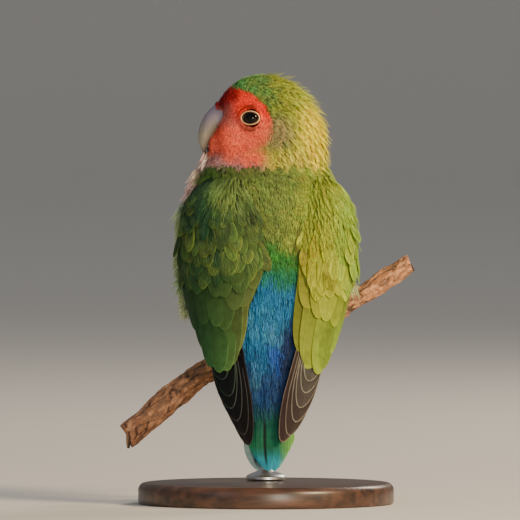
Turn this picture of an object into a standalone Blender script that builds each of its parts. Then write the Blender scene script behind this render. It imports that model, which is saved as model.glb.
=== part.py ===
"""A peach-faced lovebird, life size, gripping a cut length of branch that a plain display stand holds up.

The bird faces +Y with its head turned to its own left, towards -X, so a viewer at -Y sees its back.
The origin is the middle of the stand's underside. Tables and sizes are in millimetres, and MM turns
them to metres where a mesh is made.
"""

from math import acos, cos, pi, radians, sin, sqrt

import bmesh
import bpy
from mathutils import Matrix, Vector

MM = 0.001
GAP = 0.35  # clearance between two nodes that touch

# Body: one row for each level, as z, left side, right side, back, widest line and breast.
# The first two are x, the last three y.
BODY = [
    (126.0, -25.0, 23.2, -7.0, 7.5, 23.0),
    (122.5, -26.2, 25.2, -9.8, 7.2, 26.0),
    (119.0, -27.3, 26.8, -12.2, 6.8, 28.5),
    (110.0, -29.3, 29.2, -16.5, 6.0, 32.5),
    (100.0, -30.2, 30.2, -19.5, 5.0, 34.0),
    (90.0, -30.2, 30.0, -22.0, 3.0, 31.5),
    (80.0, -28.8, 28.4, -24.5, -1.0, 23.5),
    (70.0, -25.4, 25.0, -27.0, -7.0, 11.0),
    (60.0, -20.0, 20.0, -30.0, -14.0, -1.0),
    (50.0, -14.8, 15.0, -33.0, -22.0, -11.0),
    (42.0, -11.8, 12.0, -35.6, -28.0, -20.0),
    (35.0, -10.2, 10.6, -37.8, -32.5, -27.0),
    (29.0, -9.4, 9.8, -39.6, -36.0, -32.6),
]
NECK_TOP, NECK_BASE, RUMP_TOP, RUMP_END = 126.0, 118.0, 70.0, 29.0

# Head: z, face, nape and half width at each level. The head's middle plane is y = HEAD_Y.
HEAD_Y = 8.5
HEAD = [
    (126.0, -24.6, 22.8, 16.0),
    (128.5, -23.6, 22.9, 16.5),
    (131.0, -20.6, 23.0, 16.8),
    (134.0, -18.0, 23.0, 17.0),
    (138.0, -16.8, 22.8, 17.1),
    (142.0, -16.6, 22.2, 16.8),
    (146.0, -17.4, 20.6, 16.2),
    (150.0, -18.6, 18.4, 15.1),
    (154.0, -16.6, 15.6, 13.2),
    (157.5, -13.2, 11.4, 10.2),
    (160.0, -8.8, 6.6, 6.6),
    (161.4, -4.4, 1.6, 2.6),
]
FACE_TAPER = 0.16  # how much wider the head is behind than in front
FACE_BLUNT = 0.3  # how much blunter than an ellipse the face is

# Bill: culmen x and z, cutting edge x and z, and half width, from the root out to the tip.
UPPER_BILL = [
    (-13.0, 150.2, -12.5, 137.6, 5.4),
    (-18.4, 150.0, -15.0, 137.2, 5.5),
    (-22.2, 146.7, -17.2, 136.8, 5.0),
    (-24.5, 142.8, -19.0, 136.3, 4.3),
    (-25.5, 138.5, -20.6, 135.6, 3.4),
    (-25.1, 135.0, -21.8, 134.2, 2.4),
    (-24.0, 132.3, -22.4, 132.8, 1.4),
    (-22.6, 129.9, -22.2, 130.3, 0.4),
]
CERE_END = 1.25  # the station where the cere gives way to horn
CERE_SWELL = 0.3
LOWER_BILL = [
    (-12.5, 136.2, -13.5, 130.4, 4.6),
    (-16.6, 135.9, -17.6, 130.4, 4.1),
    (-19.4, 135.0, -19.9, 131.2, 3.1),
    (-21.1, 133.6, -21.0, 132.2, 1.6),
]
CHEEK = (-7.5, 138.3, 5.0)  # x, z and distance from the head's middle plane
CHEEK_RADII = (12.6, 8.2, 11.8)
NOSTRIL = (-19.4, 148.3, 2.9)
NOSTRIL_RADIUS = 0.6

EYE = (-5.9, 144.9)  # x and z of both eyes
EYE_RADIUS = 3.9
EYE_SET_IN = 2.6  # from the head's surface in to the eyeball's middle
LID_RADII = (3.45, 2.85)  # along the head and up it
LID_THICK = 0.6

# Wing: z, half width, back and side of the surface that a folded wing lies along.
WING_SHELL = [
    (126.0, 26.4, -8.6, 7.5),
    (119.0, 28.3, -13.4, 6.8),
    (110.0, 30.3, -17.2, 6.0),
    (100.0, 31.2, -20.2, 5.0),
    (90.0, 31.2, -22.7, 3.0),
    (80.0, 29.8, -25.2, -1.0),
    (70.0, 26.9, -27.8, -6.5),
    (60.0, 24.0, -31.4, -14.0),
    (50.0, 20.6, -35.6, -25.0),
    (40.0, 17.4, -39.0, -33.4),
    (32.0, 14.6, -42.0, -38.0),
    (24.0, 12.0, -45.0, -42.4),
    (16.0, 10.0, -48.0, -46.2),
]
# Wing pad: z, distance of its inner and outer edge from the back's middle, and thickness.
WING_PAD = [
    (122.5, 17.5, 26.0, 0.7),
    (120.5, 14.2, 32.0, 1.3),
    (116.5, 11.8, 38.0, 1.9),
    (109.0, 9.5, 43.0, 2.4),
    (99.0, 8.5, 46.0, 2.5),
    (89.0, 8.5, 45.0, 2.5),
    (80.0, 10.0, 41.0, 2.2),
    (73.0, 12.5, 36.0, 1.5),
]

# How far each wing is shifted away from the back's middle, as z, left and right.
WING_SHIFT = [(20.0, 0.0, 0.0), (57.0, -1.2, 1.4), (75.0, -3.2, 1.5), (92.0, -4.5, 1.5), (126.0, -4.5, 1.5)]

TAIL_TOP = (-41.0, -0.38)  # y of the top of the tail at RUMP_END, and its change for each mm down
TAIL_PAIRS = 6
TAIL_TIP = 14.0

# Perch: x, z and radius along the branch, which also leans away to the right.
PERCH = [
    (-52.0, 24.9, 4.9),
    (-40.0, 35.5, 5.1),
    (-28.5, 45.0, 4.9),
    (-18.5, 51.6, 4.7),
    (-7.0, 57.3, 4.5),
    (6.0, 62.6, 4.4),
    (19.0, 68.4, 4.2),
    (32.0, 75.2, 4.0),
    (43.0, 82.2, 3.9),
    (54.0, 89.6, 3.7),
]
PERCH_Y = 17.0
PERCH_LEAN = 0.12

FEET = {"left": -10.0, "right": 9.5}  # x of each foot on the perch
TOE_RADII = (1.55, 1.15)
# Toes: 1 forward or -1 back, how far along the perch, and how many degrees round it.
TOES = ((1, -2.6, 112), (1, 1.6, 120), (-1, -1.9, 106), (-1, 2.5, 96))

BASE_RADIUS = 48.0
BASE_HEIGHT = 8.0
ROD_RADIUS = 2.6
ROD_FOOT_RADIUS = 7.5


def hermite(rows):
    """A smooth curve through a table's rows: a function from the first column to the others."""
    rows = sorted(rows)
    keys = [row[0] for row in rows]
    columns = list(zip(*rows))[1:]

    def slopes(values):
        steps = [(values[i + 1] - values[i]) / (keys[i + 1] - keys[i]) for i in range(len(keys) - 1)]
        inner = [(steps[i] + steps[i + 1]) / 2 for i in range(len(steps) - 1)]
        return [steps[0], *inner, steps[-1]]

    tangents = [slopes(values) for values in columns]

    def at(key):
        key = min(max(key, keys[0]), keys[-1])
        i = max(j for j in range(len(keys) - 1) if keys[j] <= key)
        span = keys[i + 1] - keys[i]
        t = (key - keys[i]) / span
        weights = (2 * t**3 - 3 * t**2 + 1, t**3 - 2 * t**2 + t, 3 * t**2 - 2 * t**3, t**3 - t**2)
        return [
            weights[0] * v[i] + weights[1] * span * m[i] + weights[2] * v[i + 1] + weights[3] * span * m[i + 1]
            for v, m in zip(columns, tangents)
        ]

    return at


body_row = hermite(BODY)
head_row = hermite(HEAD)
shell_row = hermite(WING_SHELL)
pad_row = hermite(WING_PAD)
perch_row = hermite(PERCH)
shift_row = hermite(WING_SHIFT)


def levels(start, end, count):
    """count evenly spaced numbers from start to end."""
    return [start + (end - start) * i / (count - 1) for i in range(count)]


def material(name, colour, roughness, metallic=0.0):
    found = bpy.data.materials.get(name)
    if found:
        return found
    made = bpy.data.materials.new(name)
    made.use_nodes = True
    shader = made.node_tree.nodes["Principled BSDF"]
    shader.inputs["Base Color"].default_value = (*colour, 1.0)
    shader.inputs["Roughness"].default_value = roughness
    shader.inputs["Metallic"].default_value = metallic
    return made


def skins():
    """The finishes, each with its colour and roughness."""
    return {
        "green": material("green plumage", (0.17, 0.25, 0.03), 0.75),
        "wing": material("wing plumage", (0.13, 0.22, 0.03), 0.65),
        "face": material("rosy face plumage", (0.72, 0.12, 0.07), 0.75),
        "blue": material("blue rump plumage", (0.02, 0.17, 0.36), 0.7),
        "tail": material("tail plumage", (0.03, 0.25, 0.2), 0.65),
        "horn": material("pale horn", (0.55, 0.5, 0.4), 0.35),
        "cere": material("cere skin", (0.6, 0.5, 0.45), 0.6),
        "eye": material("dark eye", (0.012, 0.008, 0.006), 0.08),
        "foot": material("scaly grey foot", (0.25, 0.23, 0.2), 0.6),
        "claw": material("dark claw", (0.05, 0.045, 0.04), 0.4),
        "bark": material("weathered bark", (0.3, 0.17, 0.1), 0.9),
        "steel": material("brushed steel", (0.55, 0.55, 0.55), 0.3, 1.0),
        "wood": material("dark stained wood", (0.06, 0.03, 0.018), 0.45),
    }


def mesh_object(name, bm, finish=None):
    """A named object, in metres, of a bmesh that is in millimetres."""
    bmesh.ops.recalc_face_normals(bm, faces=bm.faces)
    bmesh.ops.scale(bm, vec=(MM, MM, MM), verts=bm.verts)
    mesh = bpy.data.meshes.new(name)
    bm.to_mesh(mesh)
    bm.free()
    obj = bpy.data.objects.new(name, mesh)
    bpy.context.scene.collection.objects.link(obj)
    if finish:
        mesh.materials.append(finish)
    return obj


def loft(name, rings, finish=None):
    """A closed solid through rings of equal length, its end rings filled."""
    bm = bmesh.new()
    made = [[bm.verts.new(p) for p in ring] for ring in rings]
    count = len(rings[0])
    for low, high in zip(made, made[1:]):
        for i in range(count):
            bm.faces.new((low[i], low[(i + 1) % count], high[(i + 1) % count], high[i]))
    ends = [bm.faces.new(made[0]), bm.faces.new(made[-1])]
    bmesh.ops.triangulate(bm, faces=ends)
    return mesh_object(name, bm, finish)


def sheet_solid(name, tops, bottoms, finish=None):
    """A closed thin solid between two grids of points, with the same triangles on both faces."""
    bm = bmesh.new()
    rows, columns = len(tops), len(tops[0])
    top = [[bm.verts.new(p) for p in row] for row in tops]
    bottom = [[bm.verts.new(p) for p in row] for row in bottoms]
    for i in range(rows - 1):
        for j in range(columns - 1):
            cell = (i, j), (i + 1, j), (i + 1, j + 1), (i, j + 1)
            for corners in ((0, 1, 2), (0, 2, 3)):
                picked = [cell[k] for k in corners]
                bm.faces.new([top[a][b] for a, b in picked])
                bm.faces.new([bottom[a][b] for a, b in reversed(picked)])
    rim = [(i, 0) for i in range(rows)] + [(rows - 1, j) for j in range(1, columns)]
    rim += [(i, columns - 1) for i in range(rows - 2, -1, -1)] + [(0, j) for j in range(columns - 2, 0, -1)]
    for (a, b), (c, d) in zip(rim, rim[1:] + rim[:1]):
        bm.faces.new((top[a][b], bottom[a][b], bottom[c][d]))
        bm.faces.new((top[a][b], bottom[c][d], top[c][d]))
    return mesh_object(name, bm, finish)


def boolean(obj, others, operation, solver="MANIFOLD"):
    """Joins the other objects to obj or cuts them from it, and removes them."""
    helpers = bpy.data.collections.new("helpers")
    bpy.context.scene.collection.children.link(helpers)
    for other in others:
        bpy.context.scene.collection.objects.unlink(other)
        helpers.objects.link(other)
    modifier = obj.modifiers.new(operation.title(), "BOOLEAN")
    modifier.operation = operation
    modifier.operand_type = "COLLECTION"
    modifier.collection = helpers
    modifier.solver = solver
    graph = bpy.context.evaluated_depsgraph_get()
    mesh = bpy.data.meshes.new_from_object(obj.evaluated_get(graph))
    obj.modifiers.clear()
    obj.data = mesh
    for other in others:
        bpy.data.objects.remove(other)
    bpy.data.collections.remove(helpers)
    return keep_largest(obj)


def keep_largest(obj):
    """Keeps the largest closed surface of a mesh, and drops scraps and sealed hollows."""
    bm = bmesh.new()
    bm.from_mesh(obj.data)
    bmesh.ops.triangulate(bm, faces=bm.faces)
    left, shells = set(bm.verts), []
    while left:
        shell, edge = set(), [left.pop()]
        while edge:
            vert = edge.pop()
            shell.add(vert)
            for link in vert.link_edges:
                other = link.other_vert(vert)
                if other in left:
                    left.remove(other)
                    edge.append(other)
        shells.append(shell)
    shells.sort(key=len)
    for shell in shells[:-1]:
        bmesh.ops.delete(bm, geom=list(shell), context="VERTS")
    bm.to_mesh(obj.data)
    bm.free()
    return obj


def shade(obj, angle=radians(40)):
    obj.data.shade_smooth()
    obj.data.set_sharp_from_angle(angle=angle)
    return obj


def body_point(z, turn, grow=0.0):
    """A point of the body's surface at a level. turn is 0 at the back and runs towards +X."""
    left, right, back, side, breast = body_row(z)
    x = (left + right) / 2 + ((right - left) / 2 + grow) * sin(turn)
    reach = (side - back) if cos(turn) > 0 else (breast - side)
    return Vector((x, side - (reach + grow) * cos(turn), z))


def body_slice(name, top, bottom, rings, finish=None, grow=0.0, around=28):
    """A length of the body between two levels."""
    turns = [2 * pi * i / around for i in range(around)]
    return loft(name, [[body_point(z, t, grow) for t in turns] for z in levels(bottom, top, rings)], finish)


def head_point(z, turn, grow=0.0):
    """A point of the head's surface. turn is 0 at the nape and pi at the face."""
    face, nape, half = head_row(z)
    x = (face + nape) / 2 + ((nape - face) / 2 + grow) * cos(turn)
    wide = abs(sin(turn)) ** (1 - FACE_BLUNT * max(0.0, -cos(turn)))
    wide = wide if sin(turn) > 0 else -wide
    return Vector((x, HEAD_Y + (half + grow) * wide * (1 + FACE_TAPER * cos(turn)), z))


def head_side(x, z, side):
    """The point of the head's surface at x and z, on one side, and the way out of the surface there."""
    face, nape, _ = head_row(z)
    turn = acos((x - (face + nape) / 2) / ((nape - face) / 2)) * side
    here = head_point(z, turn)
    along = head_point(z, turn + 0.05) - head_point(z, turn - 0.05)
    up = head_point(z + 0.5, turn) - head_point(z - 0.5, turn)
    out = along.cross(up).normalized()
    return here, out if out.y * side > 0 else -out


def shell_point(reach, z, lift, side):
    """A point lift above the surface that a folded wing lies along. reach runs along that surface at
    one level, from the back's middle, and side is -1 on the left and 1 on the right."""
    half, back, flank = shell_row(z)
    left = reach + shift_row(z)[0 if side < 0 else 1]
    turn = 0.0
    for _ in range(60):
        step = left / 60 / sqrt((half * cos(turn)) ** 2 + ((flank - back) * sin(turn)) ** 2)
        turn += step
    return Vector((side * (half + lift) * sin(turn), flank - (flank - back + lift) * cos(turn), z))


def section_loft(name, table, first, last, rings, finish=None, grow=0.0, around=14, taper=1.0):
    """A solid through sections that stand between an upper and a lower profile line in the head's
    middle plane, such as a bill. first and last are stations of the table, which may be between two."""
    row = hermite([(i, *values) for i, values in enumerate(table)])
    made = []
    for station in levels(first, last, rings):
        top_x, top_z, low_x, low_z, half = row(station)
        top, low = Vector((top_x, top_z)), Vector((low_x, low_z))
        middle, reach = (top + low) / 2, (top - low) / 2
        reach *= 1 + grow / reach.length
        ring = []
        for i in range(around):
            turn = 2 * pi * i / around
            across = (half + grow) * sin(turn) * (1 - (1 - taper) * max(0.0, cos(turn)))
            spot = middle + reach * cos(turn)
            ring.append(Vector((spot.x, HEAD_Y + across, spot.y)))
        made.append(ring)
    return loft(name, made, finish)


def belly_y(x, z):
    """How far forward the belly reaches at x and z."""
    left, right, _, side, breast = body_row(z)
    half = (right - left) / 2
    return side + (breast - side) * sqrt(1 - ((x - (left + right) / 2) / half) ** 2)


def sphere(name, centre, radii, finish=None, segments=16, rings=10):
    bm = bmesh.new()
    bmesh.ops.create_uvsphere(bm, u_segments=segments, v_segments=rings, radius=1.0)
    bmesh.ops.scale(bm, vec=radii, verts=bm.verts)
    bmesh.ops.translate(bm, vec=centre, verts=bm.verts)
    return mesh_object(name, bm, finish)


def tube(name, points, radii, finish=None, around=8):
    """A round-section solid along points, with a radius at each."""
    rings = []
    side = None
    for i, point in enumerate(points):
        ahead = (points[min(i + 1, len(points) - 1)] - points[max(i - 1, 0)]).normalized()
        if side is None:
            side = ahead.orthogonal()
        side = (side - ahead * side.dot(ahead)).normalized()
        up = side.cross(ahead)
        turns = [2 * pi * k / around for k in range(around)]
        rings.append([point + (side * cos(t) + up * sin(t)) * radii[i] for t in turns])
    return loft(name, rings, finish)


def lid(name, spot, out):
    """An oval ring of bare skin round an eye, lying on the head."""
    around, thick = 16, 6
    along = out.cross(Vector((0, 0, 1))).normalized()
    up = along.cross(out).normalized()
    bm = bmesh.new()
    rings = []
    for i in range(around):
        turn = 2 * pi * i / around
        spoke = along * cos(turn) * LID_RADII[0] + up * sin(turn) * LID_RADII[1]
        centre = spot + spoke
        ring = []
        for k in range(thick):
            roll = 2 * pi * k / thick
            ring.append(bm.verts.new(centre + (spoke.normalized() * cos(roll) + out * sin(roll)) * LID_THICK))
        rings.append(ring)
    for a, b in zip(rings, rings[1:] + rings[:1]):
        for k in range(thick):
            bm.faces.new((a[k], a[(k + 1) % thick], b[(k + 1) % thick], b[k]))
    return mesh_object(name, bm)


def head_and_bill(finish):
    """The head with its lids and cheeks, the two halves of the bill, the cere and both eyes."""
    around = 26
    turns = [2 * pi * i / around for i in range(around)]
    heights = [NECK_TOP + GAP, 128.5, 131, 134, 138, 141.5, 145, 148.5, 151.5, 154.3, 157, 159.2, 160.6, 161.4]
    head = loft("head", [[head_point(z, t) for t in turns] for z in heights], finish["face"])
    cheeks = []
    lids = []
    eyeballs = []
    for label, side in (("left", -1), ("right", 1)):
        centre = (CHEEK[0], HEAD_Y + side * CHEEK[2], CHEEK[1])
        cheeks.append(sphere(f"cheek_{label}", centre, CHEEK_RADII, None, 18, 12))
        spot, out = head_side(*EYE, side)
        lids.append(lid(f"lid_{label}", spot, out))
        eyeballs.append((label, spot - out * EYE_SET_IN))
    boolean(head, cheeks + lids, "UNION")
    cutters = [sphere("socket", centre, [EYE_RADIUS + GAP] * 3, None, 18, 12) for _, centre in eyeballs]
    cutters.append(section_loft("bill_room", UPPER_BILL, 0, 7, 14, grow=GAP + CERE_SWELL))
    cutters.append(section_loft("chin_room", LOWER_BILL, 0, 3, 7, grow=GAP))
    boolean(head, cutters, "DIFFERENCE")
    for label, centre in eyeballs:
        shade(sphere(f"eye_{label}", centre, [EYE_RADIUS] * 3, finish["eye"], 16, 10))
    upper = section_loft("upper_bill", UPPER_BILL, CERE_END, 7, 12, finish["horn"], around=16)
    cere = section_loft("cere", UPPER_BILL, 0.15, CERE_END - 0.06, 5, finish["cere"], CERE_SWELL, 16)
    nostrils = []
    for side in (-1, 1):
        x, z, out = NOSTRIL
        nostrils.append(sphere("nostril", (x, HEAD_Y + side * out, z), [NOSTRIL_RADIUS] * 3, None, 8, 6))
    boolean(cere, nostrils, "DIFFERENCE")
    lower = section_loft("lower_bill", LOWER_BILL, 0.1, 3, 7, finish["horn"], around=14)
    for obj in (head, upper, cere, lower):
        shade(obj)


def vane(name, root, tip, half_width, lifts, side, thick=0.55, tilt=0.12, bow=0.0, steps=4, pointed=0.25):
    """A feather's vane on the wing's surface. root and tip are (reach, z). lifts are its height above
    that surface at both ends. tilt raises its outer edge, so that a row of vanes overlaps."""
    root, tip = Vector(root), Vector(tip)
    across = Vector((tip.y - root.y, root.x - tip.x)).normalized()
    if across.x < 0:
        across = -across
    tops, bottoms = [], []
    for i in range(steps + 1):
        share = 1 - (1 - i / steps) ** 1.35
        width = half_width * (0.6 + 0.4 * sin(pi * min(share / 0.6, 1.0) / 2))
        if share > 0.72:
            late = (share - 0.72) / 0.28
            width *= sqrt(max(1 - late * late, 0.0)) * (1 - pointed) + pointed * (1 - late)
            width = max(width, 0.14 * half_width)
        spot = root + (tip - root) * share + across * bow * sin(pi * share)
        height = lifts[0] + (lifts[1] - lifts[0]) * share
        top, bottom = [], []
        for edge in (-1, 0, 1):
            flat = spot + across * edge * width
            lift = height + tilt * edge * width + 0.12 * (1 - abs(edge)) * (width / half_width)
            thin = thick * (1 - 0.35 * share)
            top.append(shell_point(flat.x, flat.y, lift, side))
            bottom.append(shell_point(flat.x, flat.y, lift - thin, side))
        tops.append(top)
        bottoms.append(bottom)
    return sheet_solid(name, tops, bottoms)


def wing_pad(name, side, finish):
    """The folded arm under the small coverts, which carries every row of vanes."""
    rows, columns = 9, 8
    tops, bottoms = [], []
    for z in levels(WING_PAD[-1][0], WING_PAD[0][0], rows):
        inner, outer, thick = pad_row(z)
        top, bottom = [], []
        for j in range(columns):
            reach = inner + (outer - inner) * j / (columns - 1)
            edge = abs(2 * j / (columns - 1) - 1)
            top.append(shell_point(reach, z, 0.5 + thick * (1 - 0.75 * edge**3), side))
            bottom.append(shell_point(reach, z, 0.0, side))
        tops.append(top)
        bottoms.append(bottom)
    return sheet_solid(name, tops, bottoms, finish)


def tier(name, side, roots, tips, half_width, lifts, count, **shape):
    """A row of vanes whose roots and tips are spread evenly along two lines of (reach, z)."""
    made = []
    for i in range(count):
        share = i / (count - 1)
        root = roots(share)
        tip = tips(share)
        made.append(vane(f"{name}_{i}", root, tip, half_width, lifts(share), side, **shape))
    return made


def line(*points):
    """A smooth line through points, as a function from 0 to 1."""
    row = hermite([(i / (len(points) - 1), *point) for i, point in enumerate(points)])
    return lambda share: tuple(row(share))


def wing(label, side, finish):
    """A folded wing: primaries under secondaries under three rows of coverts, joined on one pad."""
    obj = wing_pad(f"wing_{label}", side, finish["wing"])
    vanes = tier(
        "primary", side,
        line((19.5, 80.0), (23.0, 81.0), (26.0, 82.0)),
        line((6.2, 23.4), (8.4, 28.0), (11.4, 34.6), (13.4, 41.0), (15.6, 47.5)),
        5.2, lambda s: (0.9, 0.75 + 2.4 * s), 6, tilt=0.02, bow=0.6, steps=6, thick=0.6, pointed=0.3,
    )
    vanes += tier(
        "secondary", side,
        line((14.0, 92.0), (26.0, 88.0), (41.0, 86.0)),
        line((9.4, 62.0), (15.2, 51.6), (25.0, 55.0), (35.0, 67.0)),
        4.4, lambda s: (2.3, 4.3 - 1.4 * s), 8, tilt=0.1, bow=0.8, steps=4,
    )
    vanes += tier(
        "greater_covert", side,
        line((11.0, 97.0), (27.0, 96.0), (42.0, 95.0)),
        line((9.6, 76.0), (18.0, 69.0), (29.0, 69.5), (40.0, 78.0)),
        3.9, lambda s: (2.1, 5.2 - 1.2 * s), 8, tilt=0.12, steps=3,
    )
    vanes += tier(
        "median_covert", side,
        line((10.5, 106.0), (27.0, 106.0), (42.5, 104.0)),
        line((9.6, 88.0), (19.0, 82.5), (30.0, 82.5), (42.0, 90.0)),
        3.7, lambda s: (2.0, 4.6 - 0.8 * s), 8, tilt=0.12, steps=3,
    )
    vanes += tier(
        "lesser_covert", side,
        line((12.0, 115.5), (25.0, 116.0), (37.0, 114.0)),
        line((10.6, 98.0), (20.0, 94.5), (31.0, 95.0), (42.5, 101.0)),
        3.9, lambda s: (1.2, 4.1 - 0.6 * s), 7, tilt=0.1, steps=3,
    )
    boolean(obj, vanes, "UNION")
    return shade(obj, radians(30))


def tail(finish):
    """Twelve tail feathers in pairs, the middle pair on top, rooted in one block under the rump."""
    turns = [2 * pi * i / 28 for i in range(28)]
    rings = []
    for z, squeeze in ((RUMP_END - GAP, 1.0), (RUMP_END - 3.0, 0.85), (RUMP_END - 6.5, 0.55)):
        ring = []
        for turn in turns:
            point = body_point(RUMP_END, turn)
            top = TAIL_TOP[0] - TAIL_TOP[1] * (z - RUMP_END)
            ring.append(Vector((point.x * 0.96, top + 0.9 + (point.y - body_row(RUMP_END)[2]) * squeeze, z)))
        rings.append(ring)
    obj = loft("tail", rings, finish["tail"])
    vanes = []
    for pair in range(TAIL_PAIRS):
        for side in (-1, 1):
            share = pair / (TAIL_PAIRS - 1)
            tip = TAIL_TIP + 5.5 * share**2
            tops, bottoms = [], []
            for i in range(5):
                down = i / 4
                z = RUMP_END - 1.5 + (tip - RUMP_END + 1.5) * down
                width = 3.6 * (1 if down < 0.7 else sqrt(1 - ((down - 0.7) / 0.32) ** 2))
                spread = (1.3 + 4.7 * share) * (0.62 + 0.38 * down)
                y = TAIL_TOP[0] - TAIL_TOP[1] * (z - RUMP_END) + 1.3 + 0.85 * pair * (0.75 + 0.25 * down)
                top, bottom = [], []
                for edge in (-1, 0, 1):
                    x = side * (spread + edge * width)
                    lean = 0.06 * edge * width - 0.12 * (1 - abs(edge)) + 0.12 * (side > 0) * (pair == 0)
                    top.append(Vector((x, y + lean, z)))
                    bottom.append(Vector((x, y + lean + 0.55 - 0.15 * down, z)))
                tops.append(top)
                bottoms.append(bottom)
            vanes.append(sheet_solid(f"rectrix_{pair}_{side}", tops, bottoms))
    boolean(obj, vanes, "UNION")
    return shade(obj, radians(30))


def perch_point(x):
    z, _ = perch_row(x)
    return Vector((x, PERCH_Y + PERCH_LEAN * x, z))


def perch(name, finish=None, grow=0.0, around=14, rings=19):
    """The cut branch, slightly uneven, with both ends sawn square."""
    points = [perch_point(x) for x in levels(PERCH[0][0], PERCH[-1][0], rings)]
    made = []
    for i, point in enumerate(points):
        ahead = (points[min(i + 1, rings - 1)] - points[max(i - 1, 0)]).normalized()
        side = ahead.cross(Vector((0, 1, 0))).normalized()
        up = side.cross(ahead)
        ring = []
        for k in range(around):
            turn = 2 * pi * k / around
            uneven = 0.22 * sin(2 * turn + 0.31 * point.x) + 0.14 * sin(3 * turn - 0.53 * point.x)
            radius = perch_row(point.x)[1] + uneven + grow
            ring.append(point + (side * cos(turn) + up * sin(turn)) * radius)
        made.append(ring)
    return loft(name, made, finish)


def foot_frame(x):
    """A foot's place on the perch, the way along the perch, up from it and forward."""
    along = (perch_point(x + 1) - perch_point(x - 1)).normalized()
    forward = Vector((0, 1, 0))
    forward = (forward - along * forward.dot(along)).normalized()
    up = forward.cross(along)
    up = up if up.z > 0 else -up
    return perch_point(x), along, up, forward


def toe_path(x, spread, way, reach):
    """A toe's middle line round the perch, and then its claw's. way is 1 forward and -1 back."""
    centre, along, up, forward = foot_frame(x)
    radius = perch_row(x)[1] + 0.36

    def spot(turn, out):
        slide = along * spread * (0.3 + 0.7 * sin(min(max(turn, 0.0) / radians(70), 1.0) * pi / 2))
        return centre + slide + (up * cos(turn) + forward * way * sin(turn)) * (radius + out)

    toe = [spot(turn, TOE_RADII[0] + 0.25) for turn in levels(radians(-11), reach, 8)]
    claw = [
        spot(reach + turn, TOE_RADII[0] + 0.15 + rise)
        for turn, rise in ((radians(7), 0.15), (radians(22), 0.5), (radians(40), 0.55), (radians(58), 0.1))
    ]
    return toe, claw


def shank(x):
    """The points of a leg above the toes: hip, knee, heel and ankle."""
    centre, _, up, _ = foot_frame(x)
    ankle = centre + up * (perch_row(x)[1] + 1.9)
    heel = Vector((x, max(ankle.y - 1.5, belly_y(x, ankle.z + 3.8) + 1.6), ankle.z + 3.8))
    knee = Vector((x * 1.05, belly_y(x, ankle.z + 9.0) - 4.2, ankle.z + 9.0))
    return knee + Vector((0, -8.0, 8.0)), knee, heel, ankle


def foot_tube(name, x, grow=0.0, finish=None):
    """The bare leg from inside the thigh's feathers down to the toes."""
    up = foot_frame(x)[2]
    _, _, heel, ankle = shank(x)
    points = [heel + Vector((0, -1.0, 3.0 + grow)), heel, ankle + up * 0.6, ankle - up * (0.4 + grow)]
    return tube(name, points, [r + grow for r in (1.5, 1.5, 1.7, 1.8)], finish, 10)


def leg(label, x, finish):
    """A feathered thigh, a foot of two toes forward and two back, and its four claws."""
    hip, knee, heel, _ = shank(x)
    toes = []
    claws = []
    for number, (way, spread, reach) in enumerate(TOES):
        toe, claw = toe_path(x, spread, way, radians(reach))
        toes.append(tube(f"toe_{number}", toe, levels(*TOE_RADII, len(toe))))
        claws.append(claw)
    foot = foot_tube(f"foot_{label}", x, 0.0, finish["foot"])
    boolean(foot, toes, "UNION")
    thigh = tube(f"leg_{label}", [hip, knee, heel + Vector((0, -0.6, 2.4)), heel + Vector((0, 0, 0.4))],
                 [8.0, 7.0, 4.4, 2.8], finish["green"], 16)
    rooms = [foot_tube("foot_room", x, GAP), perch("perch_room", None, GAP)]
    rooms.append(body_slice("belly_room", 119.0, 40.0, 18, None, GAP + 0.1))
    boolean(thigh, rooms, "DIFFERENCE")
    for number, claw in enumerate(claws, 1):
        tube(f"claw_{label}_{number}", claw, [0.8, 0.62, 0.4, 0.12], finish["claw"], 6)
    shade(foot)
    shade(thigh)


def turned(name, profile, finish, around=40):
    """A solid turned about the Z axis. The profile is (radius, z) from the bottom to the top."""
    rings = []
    turns = [2 * pi * i / around for i in range(around)]
    for radius, z in profile:
        rings.append([Vector((radius * cos(turn), radius * sin(turn), z)) for turn in turns])
    return loft(name, rings, finish)


def stand(finish):
    """A turned wooden disc and a steel rod with a turned foot, which reaches up to the perch."""
    edge = 1.2
    shade(turned("stand_base", [
        (BASE_RADIUS - edge, 0.0), (BASE_RADIUS, edge), (BASE_RADIUS, BASE_HEIGHT - 2 * edge),
        (BASE_RADIUS - 0.6 * edge, BASE_HEIGHT - 0.7 * edge), (BASE_RADIUS - 2 * edge, BASE_HEIGHT),
    ], finish["wood"], 40), radians(30))
    foot = BASE_HEIGHT + GAP
    rod = turned("stand_rod", [
        (ROD_FOOT_RADIUS, foot), (ROD_FOOT_RADIUS, foot + 1.4), (ROD_FOOT_RADIUS - 1.2, foot + 2.2),
        (ROD_RADIUS + 1.6, foot + 3.0), (ROD_RADIUS, foot + 4.4), (ROD_RADIUS, perch_point(0).z),
    ], finish["steel"], 20)
    rod.data.transform(Matrix.Translation((0, PERCH_Y * MM, 0)))
    boolean(rod, [perch("rod_room", None, GAP)], "DIFFERENCE")
    shade(rod, radians(30))


def clear_scene():
    for obj in list(bpy.data.objects):
        bpy.data.objects.remove(obj)


def main():
    clear_scene()
    finish = skins()
    head_and_bill(finish)
    shade(body_slice("neck", NECK_TOP, NECK_BASE + GAP, 4, finish["green"]))
    torso = body_slice("torso", NECK_BASE, RUMP_TOP + GAP, 11, finish["green"])
    rooms = [foot_tube(f"room_{label}", x, GAP) for label, x in FEET.items()]
    shade(boolean(torso, rooms, "DIFFERENCE"))
    shade(body_slice("rump", RUMP_TOP, RUMP_END, 9, finish["blue"], around=24))
    tail(finish)
    for label, side in (("left", -1), ("right", 1)):
        wing(label, side, finish)
        leg(label, FEET[label], finish)
    shade(perch("perch", finish["bark"]))
    stand(finish)


main()
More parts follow.
